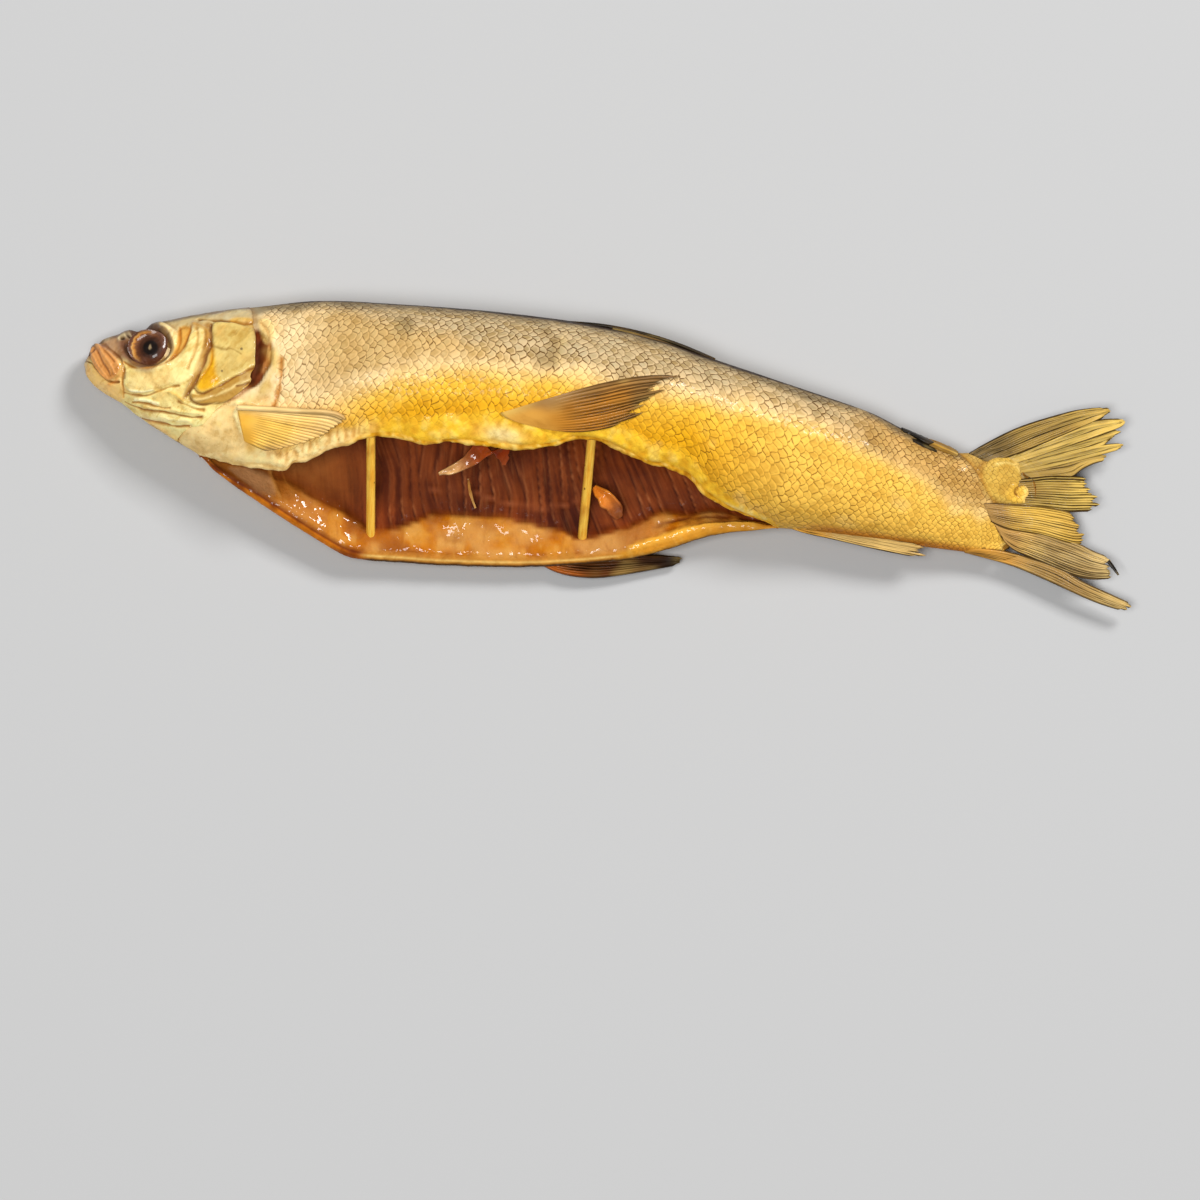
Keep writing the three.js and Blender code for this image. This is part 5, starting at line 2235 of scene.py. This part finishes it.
TAIL_OLIVE = FinColours(rgb(140, 112, 58), rgb(172, 144, 72), rgb(200, 168, 84), 0.9, 1.0)
TAIL_DARK = FinColours(rgb(108, 88, 52), rgb(150, 122, 62), rgb(182, 150, 74), 0.9, 1.0)
TAIL_GREY = FinColours(rgb(176, 136, 76), rgb(158, 130, 80), rgb(196, 168, 112), 0.7, 0.8)
TAIL_GOLD = FinColours(rgb(160, 124, 70), rgb(204, 164, 72), rgb(204, 164, 76), 0.6, 0.8)
TAIL_ORANGE = FinColours(rgb(206, 146, 56), rgb(150, 118, 66), rgb(186, 156, 96), 0.7, 0.8)
PECTORAL = FinColours(
    rgb(255, 190, 70), rgb(250, 202, 98), rgb(236, 192, 118), 0.7, 0.24, 0.22, rgb(240, 204, 136)
)
PELVIC = FinColours(rgb(216, 156, 66), rgb(184, 120, 38), rgb(116, 88, 48), 0.7, 0.6, 0.36, rgb(150, 114, 66))
UNDER_FIN = FinColours(rgb(186, 96, 24), rgb(84, 46, 16), rgb(34, 22, 13), 0.6, 0.9)
DORSAL = FinColours(rgb(44, 36, 22), rgb(30, 25, 17), rgb(50, 42, 26), 0.2, 0.8)
ANAL = FinColours(rgb(214, 156, 56), rgb(206, 172, 104), rgb(196, 162, 98), 0.9, 1.0)
ADIPOSE = FinColours(rgb(160, 118, 46), rgb(192, 146, 56), rgb(204, 166, 88), 0.4, 0.6)


@dataclass
class Fan:
    """A fan of fin rays between two side paths, from a root to a ragged tip.

    Depths are measured upwards from the ground in millimetres, or from a flank's skin where one is given.
    """

    upper: tuple[Point, ...]
    lower: tuple[Point, ...]
    rays: int
    colours: FinColours
    root_z: float
    tip_z: float
    arch: float = 0.0
    ragged: float = 0.05
    thickness: float = 0.7
    ridge: float = 0.28
    seed: int = 1
    twist: float = 0.0
    on: Side | None = None
    steps: int = 46
    steps_per_ray: int = 8
    highest: float = 41.4
    middle: tuple[Point, ...] = ()

    def sheet(self, name: str, shape: BodyShape) -> Sheet:
        """The fan as a grid of points, not yet thick.

        Args:
            name: The sheet's name.
            shape: The body that it lies on.

        Returns:
            The sheet.
        """
        upper, lower = self._even(self.upper), self._even(self.lower)
        middle = self._even(self.middle) if self.middle else (upper + lower) / 2
        across = self.rays * self.steps_per_ray
        p = np.linspace(0, 1, across + 1)[:, None]
        q = np.linspace(0, 1, self.steps + 1)[None]
        within = 0.9999  # keeps a ray's last edge with that ray
        number = np.floor(p * self.rays * within)
        length = 1 - self.ragged * (0.5 + 0.5 * Grain(1.0, self.seed)(number * 1.37 + 0.5))
        length = length - 0.35 * self.ragged * np.abs(((p * self.rays) % 1.0) - 0.5) * 2
        reach = q * np.broadcast_to(length, (across + 1, self.steps + 1))
        shares = ((1 - p) * (1 - 2 * p), 4 * p * (1 - p), p * (2 * p - 1))
        lines = (upper, middle, lower)
        x, y = (sum(w * self._at(line, reach, k) for w, line in zip(shares, lines)) for k in (0, 1))
        base = shape.height(x, y, self.on) if self.on else np.zeros(x.shape)
        z = base + mix(self.root_z, self.tip_z, reach) + self.arch * np.sin(reach * math.pi)
        z = z + self.twist * (p - 0.5) * reach
        profile = np.abs(np.sin(p * self.rays * math.pi)) ** 0.7
        fade = 1 - 0.5 * reach
        drawn = ease(self.colours.bare - 0.1, self.colours.bare + 0.25, reach)
        z = z + self.ridge * (profile - 0.5) * fade * drawn + 0.2 * Grain(7.0, self.seed + 3)(x, y)
        z = np.clip(z, self.thickness / 2 + 0.05, self.highest - self.thickness / 2)
        tint = self._paint(p, reach, x, y)
        mask = np.stack([self.colours.rays * drawn, self.colours.lines * drawn, np.zeros(x.shape)], axis=-1)
        span = math.dist(self.upper[0], self.upper[-1])
        pattern = np.stack([np.broadcast_to(p * self.rays + 0.5 + self.seed, x.shape), reach * span], axis=-1)
        return Sheet(name, np.stack([x, y, z], axis=-1), tint, mask, pattern)

    def _paint(self, p: Array, reach: Array, x: Array, y: Array) -> Array:
        """The fan's colours.

        Args:
            p: The points' share across the fan.
            reach: Their share along it.
            x: Their x.
            y: Their y.

        Returns:
            The colours.
        """
        skin = Skin(x, y, self.colours.root)
        skin.wash(ease(0.05, 0.45, reach + 0.12 * Grain(5.0, self.seed + 9)(x, y)), self.colours.middle)
        skin.wash(ease(0.55, 1.0, reach + 0.1 * Grain(5.0, self.seed + 11)(x, y)), self.colours.tip)
        if self.rays > 2:
            edges = np.minimum(p, 1 - p) * self.rays
            skin.wash(ease(0.5, 0.1, edges) * 0.5 * self.colours.lines * ease(0.1, 0.5, reach), rgb(84, 62, 26))
        if self.colours.edge:
            skin.wash(ease(0.42, 0.0, p + 0.1 * Grain(7.0, self.seed + 5)(x, y)) * 0.85, self.colours.edge)
            skin.wash(ease(0.10, 0.0, p) * ease(0.3, 0.6, reach) * 0.6, rgb(96, 66, 32))
            skin.wash(ease(0.26, 0.02, reach + 0.35 * p) * 0.85, rgb(236, 190, 92))
        patch = Grain(9.0, self.seed + 13, 2)(x, y)
        skin.wash(ease(0.15, 0.8, patch) * 0.35, rgb(120, 88, 42))
        skin.wash(ease(0.15, 0.8, -patch) * 0.3, rgb(240, 204, 116))
        return skin.tint

    @staticmethod
    def _even(path: Sequence[Point]) -> Array:
        """The path as points an equal length apart.

        Args:
            path: The path.

        Returns:
            The points.
        """
        line = rounded(path, False)
        along = np.concatenate([[0], np.cumsum(np.linalg.norm(np.diff(line, axis=0), axis=1))])
        wanted = np.linspace(0, along[-1], PATH_STEPS + 1)
        return np.stack([np.interp(wanted, along, line[:, k]) for k in (0, 1)], axis=1)

    @staticmethod
    def _at(line: Array, share: Array, axis: int) -> Array:
        """One coordinate of the line at each share of its length."""
        return np.interp(share, np.linspace(0, 1, len(line)), line[:, axis])


def build_fin(name: str, fans: Sequence[Fan], shape: BodyShape) -> bpy.types.Object:
    """Make one fin of one or more overlapping fans, dressed.

    Args:
        name: The fin's name.
        fans: Its bundles of rays.
        shape: The body that it lies on.

    Returns:
        The fin as one piece.
    """
    made = []
    for k, fan in enumerate(fans):
        piece = fan.sheet(f"{name}_{k}", shape).build(close=False)
        thicken(piece, fan.thickness)
        made.append(piece)
    bpy.ops.object.select_all(action="DESELECT")
    for piece in made:
        piece.select_set(True)
    bpy.context.view_layer.objects.active = made[0]
    if len(made) > 1:
        bpy.ops.object.join()
    fin = made[0]
    fin.name = fin.data.name = name
    face_outwards(fin)
    finish_piece(fin, FIN_SKIN, "fish")
    return fin


@dataclass
class Fins:
    """Every fin of the fish.

    The left pectoral fin is folded back and the left pelvic fin up along the flank; the right ones lie under
    the fish. The dorsal fin is folded down on the ridge of the back, the anal fin back along the belly line,
    and the fleshy adipose fin, its skin split, down on the back of the tail. The forked tail fin is torn into
    bundles of rays that part only near their tips.
    """

    shape: BodyShape
    pectoral_fin: tuple[Fan, ...] = (
        Fan(
            ((-120.9, -0.6), (-112, 0), (-100, 1), (-90, 2.2), (-85.6, 0.6)),
            ((-117, -11), (-114.6, -11.8), (-111.8, -12.6), (-109.4, -13)),
            17, PECTORAL, 0.7, 1.6, 0.6, 0.05, 0.6, 0.28, 2, -0.8, Side.LEFT,
            middle=((-119.6, -4.4), (-112, -5.2), (-103, -6.2), (-94.4, -7.0)),
        ),
        Fan(
            ((-121, -0.2), (-112, 0.6), (-100, 1.6), (-90, 2.6), (-86.5, 1.2)),
            ((-121, -1.4), (-112, -0.6), (-100, 0.6), (-90, 1.8), (-86, 0.4)),
            1, FinColours(rgb(248, 216, 150), rgb(236, 200, 132), rgb(200, 158, 96), 0.4, 0.2),
            1.2, 2.0, 0.7, 0.0, 0.8, 0.4, 5, 0.0, Side.LEFT,
        ),
    )
    pectoral_fin_under: tuple[Fan, ...] = (
        Fan(
            ((-119, -10), (-110, -12), (-98, -16), (-89, -20)),
            ((-120, -17), (-110, -24), (-98, -26.5), (-90, -22)),
            13, PECTORAL, -0.6, -0.8, 0.0, 0.06, 0.6, 0.25, 7, 0.0, Side.RIGHT,
        ),
    )
    pelvic_fin: tuple[Fan, ...] = (
        Fan(
            ((-37.4, 9.6), (-26.8, 14.6), (-17, 19.2), (-7.7, 23.2), (1.5, 26.6), (10, 28.7), (20.6, 30)),
            ((-30.3, 7.4), (-22, 6.4), (-12.1, 7), (-2, 10), (6.4, 14.4)),
            14, PELVIC, 0.3, 0.5, 0.3, 0.20, 0.5, 0.36, 11, -0.3, Side.LEFT,
            middle=((-35, 8.2), (-22, 10.4), (-10, 14), (2, 18.6), (13.4, 23.4)),
        ),
    )
    pelvic_fin_under: tuple[Fan, ...] = (
        Fan(
            ((-19, -33.5), (-8, -31.5), (6, -29.8), (16, -28.2), (28, -27.6)),
            ((-19, -35.6), (-11.4, -38.3), (-0.9, -38.2), (9.2, -35.4), (27.4, -29.2)),
            8, UNDER_FIN, 5.2, 3.6, 0.3, 0.08, 0.8, 0.5, 14, -1.2, None,
        ),
    )
    dorsal_fin: tuple[Fan, ...] = (
        Fan(
            ((-26, 41.2), (-17, 42), (-8, 42.5), (3.3, 41.9), (12, 40.7), (20, 39), (29, 36.4)),
            ((-26, 40.8), (-17, 41.3), (-6, 40.9), (-2.3, 40.5), (8, 39.4), (18.3, 37.7), (28.6, 36.3)),
            3, DORSAL, 17.6, 17.0, 1.6, 0.06, 0.9, 0.4, 17, -1.6, None,
        ),
        Fan(
            ((-6, 41.7), (2, 41.2), (10, 40), (18, 38.2)),
            ((-6, 41.2), (2, 40.7), (10, 39.4), (18, 37.7)),
            1, FinColours(rgb(88, 68, 36), rgb(128, 98, 50), rgb(70, 54, 28), 0.4, 0.4),
            20.4, 19.6, 0.8, 0.0, 0.7, 0.3, 18, 0.0, None,
        ),
    )
    anal_fin: tuple[Fan, ...] = (
        Fan(
            ((57.5, -10.6), (66, -10.4), (76, -10.9), (90, -12), (103.8, -12.4)),
            ((57.5, -12.4), (64, -13.8), (74, -14.4), (90, -15.8), (105.2, -16.3)),
            8, ANAL, 14.0, 11.2, 1.0, 0.14, 0.9, 0.5, 19, -1.2, None,
        ),
        Fan(
            ((57, -10), (66, -9.2), (78, -9.6), (92, -11.2)),
            ((57, -11.4), (66, -11.6), (78, -12), (92, -13.2)),
            3, FinColours(rgb(236, 180, 80), rgb(236, 190, 104), rgb(226, 186, 110), 0.5, 0.5),
            15.0, 12.4, 0.9, 0.05, 1.0, 0.5, 21, 0.0, None,
        ),
    )
    adipose_fin: tuple[Fan, ...] = (
        Fan(
            ((90, 23.4), (94, 22.6), (98, 21.4), (101, 20.2)),
            ((91, 22.8), (94.6, 21.6), (97.4, 20.4), (99.5, 19.6)),
            1, FinColours(rgb(40, 34, 24), rgb(30, 25, 18), rgb(50, 40, 24), 0.1, 0.4),
            0.5, 0.9, 0.3, 0.0, 1.2, 0.3, 23, 0.0, Side.LEFT,
        ),
        Fan(
            ((97.6, 21.4), (101, 21.3), (105.4, 20.2), (109.6, 18.2)),
            ((98.2, 19.6), (101.5, 18.8), (105, 17.9), (109.4, 17)),
            1, ADIPOSE, -0.5, -0.5, 0.9, 0.04, 1.1, 0.3, 24, 0.0, Side.LEFT,
        ),
        Fan(
            ((94, 20.6), (97.4, 20.4), (100.6, 19), (102.6, 17.8)),
            ((94.4, 19.8), (97.6, 18.6), (100.4, 17.9), (102.4, 17.5)),
            1, DORSAL, -0.1, -0.1, 0.1, 0.04, 0.6, 0.2, 25, 0.0, Side.LEFT,
        ),
    )
    tail_fin: tuple[Fan, ...] = (
        Fan(
            ((113, 18.6), (116.4, 21.4), (119.6, 23.8), (124.3, 27.2), (130.4, 30.8), (139.5, 35),
             (146, 37.7), (156, 39.9)),
            ((119, 16.8), (123.6, 18.8), (128.8, 21.4), (137.7, 26.9), (146.7, 32.3), (152.1, 35.5),
             (155.6, 38.5)),
            11, TAIL_DARK, -1.8, 1.6, 0.7, 0.07, 0.9, 0.5, 31, -0.4, Side.LEFT,
        ),
        Fan(
            ((115, 14.6), (124.8, 20.6), (137.7, 27.8), (146.7, 33), (152.1, 35.4), (161.2, 36.9)),
            ((117, 12), (127.2, 17.6), (141, 24.6), (150.1, 29.1), (156.2, 32.3), (161.1, 35.6)),
            10, TAIL_OLIVE, -3.2, 2.4, 0.4, 0.05, 0.8, 0.5, 32, 0.6, Side.LEFT,
        ),
        Fan(
            ((118, 14), (127.1, 18.4), (141, 25.2), (150.1, 29.6), (156.5, 32.3), (161.8, 33.8)),
            ((119, 12), (128.4, 16.2), (141.4, 21.8), (149.7, 25.1), (154.7, 27.4), (156.8, 30.3)),
            7, TAIL_OLIVE, -3.4, 1.4, 0.4, 0.07, 0.8, 0.5, 33, 0.4, Side.LEFT,
        ),
        Fan(
            ((119, 13.4), (128.3, 16.8), (141.4, 22.4), (149.7, 25.7), (155.2, 27.7), (161.6, 29)),
            ((120, 11.6), (128.6, 14.6), (141.8, 19.3), (148.2, 22), (152.4, 23.8), (161.3, 27.8)),
            6, TAIL_OLIVE, -3.4, 2.1, 0.4, 0.05, 0.8, 0.5, 34, 0.5, Side.LEFT,
        ),
        Fan(
            ((120, 12.4), (128.5, 15.4), (141.7, 20.1), (148.2, 22.5), (152.4, 23.9), (157.4, 24.4)),
            ((121, 10.4), (129, 11.9), (139.6, 14.3), (146.7, 15.9), (148.7, 18.9), (152.7, 21.7),
             (156.6, 23.3)),
            9, TAIL_DARK, -3.4, 1.4, 0.4, 0.05, 0.8, 0.55, 35, 0.2, Side.LEFT,
        ),
        Fan(
            ((126.4, 11.6), (139.5, 15.3), (146.7, 16.1), (153.4, 16.7)),
            ((127.4, 4.4), (140.9, 5.1), (146.8, 5), (152.5, 6.1), (158, 6.9)),
            13, TAIL_OLIVE, -0.8, 1.1, 0.3, 0.14, 0.8, 0.5, 37, -0.5, Side.LEFT,
        ),
        Fan(
            ((119.6, 3.6), (125.5, 4.2), (131.3, 4.4), (135.1, 5), (141, 5.2), (146.8, 5), (150.4, 3.4)),
            ((123, -1.6), (127.5, -3.2), (132.1, -3.4), (140.2, -3.4), (147.2, -4.8), (152.2, -5.2),
             (155.2, -3.1)),
            12, TAIL_GOLD, -0.5, 0.5, 0.8, 0.10, 0.8, 0.4, 38, -0.4, Side.LEFT,
        ),
        Fan(
            ((123.2, -1.4), (127.7, -2.4), (132.1, -2.2), (140.1, -2.5), (147.1, -3.9), (152.1, -4.9),
             (156.3, -6.5), (163.4, -8.2)),
            ((127.6, -6.6), (131, -9.4), (136.4, -10.8), (143.6, -12.8), (148.7, -14.2), (156.7, -15.6),
             (164.4, -13.8)),
            13, TAIL_GREY, -0.6, 0.5, 0.6, 0.08, 0.8, 0.4, 39, 0.0, Side.LEFT,
        ),
        Fan(
            ((116, -11.4), (123, -10.8), (130.7, -10.9), (136.7, -11.7), (143.6, -12.6), (148.6, -13.8),
             (153.9, -16.7), (164.1, -19.5), (172.2, -21.9)),
            ((116, -12.4), (123.2, -13.2), (131.1, -14.2), (137.2, -15.7), (147.4, -18.6), (160.6, -22.5),
             (169.8, -23.7)),
            6, TAIL_ORANGE, -1.2, 0.2, 0.5, 0.04, 1.0, 0.45, 41, -0.6, Side.LEFT,
        ),
        Fan(
            ((162.3, -8.4), (164.2, -10.2), (166, -12.7)), ((161.6, -9.2), (163.4, -10.9), (165.8, -12.9)),
            1, DORSAL, 1.2, 1.6, 0.0, 0.0, 0.6, 0.1, 43, 0.0, Side.LEFT,
        ),
    )

    def build(self) -> list[bpy.types.Object]:
        """Make all the fins."""
        return [build_fin(part.name, getattr(self, part.name), self.shape) for part in fields(self)[1:]]


# ---- inside the belly


@dataclass
class Sliver:
    """A torn piece of wet membrane, wide at its root and narrow at its tip."""

    name: str
    spine: tuple[tuple[float, float, float], ...]
    widths: tuple[float, ...]
    tints: tuple[Colour, Colour]
    seed: int
    curl: float = 0.8
    thickness: float = 0.8
    along: int = 60
    across: int = 18

    def build(self) -> bpy.types.Object:
        """Make the sliver, dressed.

        Returns:
            The sliver.
        """
        t = np.linspace(0, 1, self.along + 1)
        knots = np.linspace(0, 1, len(self.spine))
        line = np.stack([Curve(tuple(zip(knots, [s[k] for s in self.spine])))(t) for k in range(3)], axis=1)
        ahead = np.gradient(line, axis=0)
        sideways = np.stack([-ahead[:, 1], ahead[:, 0], np.zeros(len(t))], axis=1)
        sideways /= np.linalg.norm(sideways, axis=1, keepdims=True)
        width = np.interp(t, np.linspace(0, 1, len(self.widths)), self.widths)
        p = np.linspace(-1, 1, self.across + 1)
        frayed = 1 + 0.22 * Grain(0.16, self.seed)(t[:, None], np.sign(p)[None] * 3.0)
        points = line[:, None] + sideways[:, None] * (width[:, None] * p[None] * 0.5 * frayed)[..., None]
        points[..., 2] += self.curl * p[None] ** 2 * width[:, None] * 0.18
        points[..., 2] += 0.35 * Grain(2.2, self.seed + 2, 2)(points[..., 0], points[..., 1])
        x, y = points[..., 0], points[..., 1]
        skin = Skin(x, y, self.tints[0])
        skin.wash(ease(0.2, 0.9, np.broadcast_to(t[:, None], x.shape)), self.tints[1])
        skin.wash(ease(0.0, 0.8, Grain(1.8, self.seed + 4)(x, y)) * 0.5, rgb(120, 58, 18))
        mask = np.zeros(points.shape)
        mask[..., 0] = 0.9
        piece = Sheet(self.name, points, skin.tint, mask, points[..., :2]).build(close=False)
        thicken(piece, self.thickness)
        finish_piece(piece, MEMBRANE, "fish")
        return piece


SLIVERS = (
    Sliver(
        "torn_membrane_front",
        ((-40.5, -1.2, 31.5), (-44.5, -6.0, 29.5), (-49.5, -9.9, 28.0), (-54.2, -12.4, 27.4)),
        (6.2, 4.6, 3.0, 0.9), (rgb(150, 62, 14), rgb(232, 184, 120)), 201,
    ),
    Sliver(
        "torn_membrane_side",
        ((-36.0, -1.5, 31.0), (-34.6, -4.0, 28.8), (-34.0, -6.4, 27.0)),
        (5.4, 4.0, 1.4), (rgb(140, 50, 14), rgb(176, 82, 34)), 205,
    ),
    Sliver(
        "belly_flap",
        ((-4.6, -9.3, 16.0), (-1.2, -11.6, 17.6), (2.4, -14.6, 16.4), (4.9, -17.8, 12.0)),
        (1.4, 4.4, 5.0, 2.4), (rgb(224, 134, 40), rgb(166, 92, 52)), 209, 2.2,
    ),
    Sliver(
        "strand_upper",
        ((-44.8, -12.4, 17.4), (-43.4, -17.0, 13.0), (-41.2, -21.4, 9.6)),
        (0.6, 0.9, 0.6), (rgb(190, 130, 60), rgb(210, 160, 90)), 213, 0.0, 0.5,
    ),
)


# ---- the sticks


@dataclass
class Stick:
    """A round wooden stick that holds the belly open, slightly crooked, its ends rounded off."""

    node: str
    foot: tuple[float, float, float]
    head: tuple[float, float, float]
    seed: int
    radius: float = 1.5
    sides: int = 44
    rings: int = 150
    end_length: float = 1.3
    crook: float = 0.18

    def build(self) -> bpy.types.Object:
        """Make the stick, dressed.

        Returns:
            The stick.
        """
        foot, head = np.array(self.foot), np.array(self.head)
        axis = (head - foot) / np.linalg.norm(head - foot)
        across = np.cross(axis, (1.0, 0.0, 0.0))
        across /= np.linalg.norm(across)
        other = np.cross(axis, across)
        t = np.linspace(0, 1, self.rings + 1)[:, None]
        a = np.linspace(0, 2 * math.pi, self.sides + 1)[None]
        length = np.linalg.norm(head - foot)
        ends = np.clip(np.minimum(t, 1 - t) * length / self.end_length, 0, 1)
        radius = self.radius * 0.97 * np.sqrt(1 - (1 - ends) ** 2)
        rough = Grain(0.5, self.seed, 2)(np.cos(a), np.sin(a), t * 9)
        facet = 1 + 0.018 * np.cos(a * 7 + self.seed) + 0.03 * rough
        radius = np.minimum(radius * facet, self.radius)
        middle = foot + (head - foot) * t[..., None]
        middle = middle + across * (self.crook * np.sin(t * math.pi))[..., None] * (1 if self.seed % 2 else -1)
        points = middle + (np.cos(a) * radius)[..., None] * across + (np.sin(a) * radius)[..., None] * other
        points[:, -1] = points[:, 0]
        turns = np.broadcast_to(a / (2 * math.pi), radius.shape) + self.seed
        pattern = np.stack([turns, np.broadcast_to(t * length, radius.shape)], axis=-1)
        blank = np.ones(points.shape)
        piece = Sheet(f"{self.node}_wood", points, blank, blank, pattern).build(close=True)
        finish_piece(piece, WOOD, self.node)
        return piece


# ---- the studio


@dataclass(frozen=True)
class Lamp:
    """A square soft light: its place along the view's right, its up and its height, its size and its power."""

    name: str
    place: tuple[float, float, float]
    size: float
    power: float


@dataclass
class Studio:
    """The floor, the lights and the camera, which looks straight down."""

    frame_width: float = 0.384
    centre: tuple[float, float] = (0.0026, -0.0448)
    roll: float = 8.33
    distance: float = 5.0
    middle_height: float = 0.018
    sensor: float = 36.0
    floor_size: float = 12.0
    ambience: float = 0.12
    lamps: tuple[Lamp, ...] = (
        Lamp("key", (1.50, 1.75, 2.25), 0.80, 76.0),
        Lamp("overhead", (-0.45, -0.20, 3.00), 1.20, 66.0),
    )

    def build(self) -> None:
        """Set everything up."""
        self._floor()
        self._camera()
        for lamp in self.lamps:
            self._light(lamp)
        world = bpy.data.worlds.new("studio")
        bpy.context.scene.world = world
        world.use_nodes = True
        background = world.node_tree.nodes["Background"]
        background.inputs["Color"].default_value = (1.0, 1.0, 1.0, 1.0)
        background.inputs["Strength"].default_value = self.ambience
        view = bpy.context.scene.view_settings
        view.view_transform = "Standard"
        view.look = "None"
        view.exposure = 0.0

    def _floor(self) -> None:
        """Lay the floor, one large plane that reaches past every view."""
        bpy.ops.object.select_all(action="DESELECT")
        bpy.ops.mesh.primitive_plane_add(size=self.floor_size, location=(0, 0, 0))
        floor = bpy.context.active_object
        floor.name = "floor"
        floor.data.materials.append(FLOOR.material())

    def _camera(self) -> None:
        """Hang the camera over the scene."""
        data = bpy.data.cameras.new("camera")
        camera = bpy.data.objects.new("camera", data)
        bpy.context.scene.collection.objects.link(camera)
        data.sensor_width = self.sensor
        data.lens = self.sensor * (self.distance - self.middle_height) / self.frame_width
        data.clip_start, data.clip_end = 0.01, 50
        camera.location = (*self.centre, self.distance)
        camera.rotation_euler = (0, 0, math.radians(self.roll))
        bpy.context.scene.camera = camera

    def _light(self, lamp: Lamp) -> None:
        """Hang a light that faces the fish.

        Args:
            lamp: Its numbers.
        """
        data = bpy.data.lights.new(lamp.name, "AREA")
        data.size, data.energy = lamp.size, lamp.power
        light = bpy.data.objects.new(lamp.name, data)
        bpy.context.scene.collection.objects.link(light)
        turn = math.radians(self.roll)
        right, up, height = lamp.place
        light.location = (
            right * math.cos(turn) - up * math.sin(turn),
            right * math.sin(turn) + up * math.cos(turn),
            height,
        )
        light.rotation_mode = "QUATERNION"
        light.rotation_quaternion = (-light.location).to_track_quat("-Z", "Y")


def main() -> None:
    """Build the fish, its sticks and the studio, piece by piece."""
    logging.basicConfig(level=logging.INFO, format="%(message)s")
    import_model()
    shape = BodyShape()
    Trunk(shape).build()
    Head(shape).build()
    for side in Side:
        Eye(shape, side).build()
    Fins(shape).build()
    for sliver in SLIVERS:
        sliver.build()
    Stick("front_stick", (-72.9, -37.2, 7.0), (-77.6, -1.6, 33.0), 3).build()
    Stick("rear_stick", (-5.9, -26.6, 7.2), (-7.6, 9.0, 32.5), 8).build()
    Studio().build()


if __name__ == "__main__":
    main()
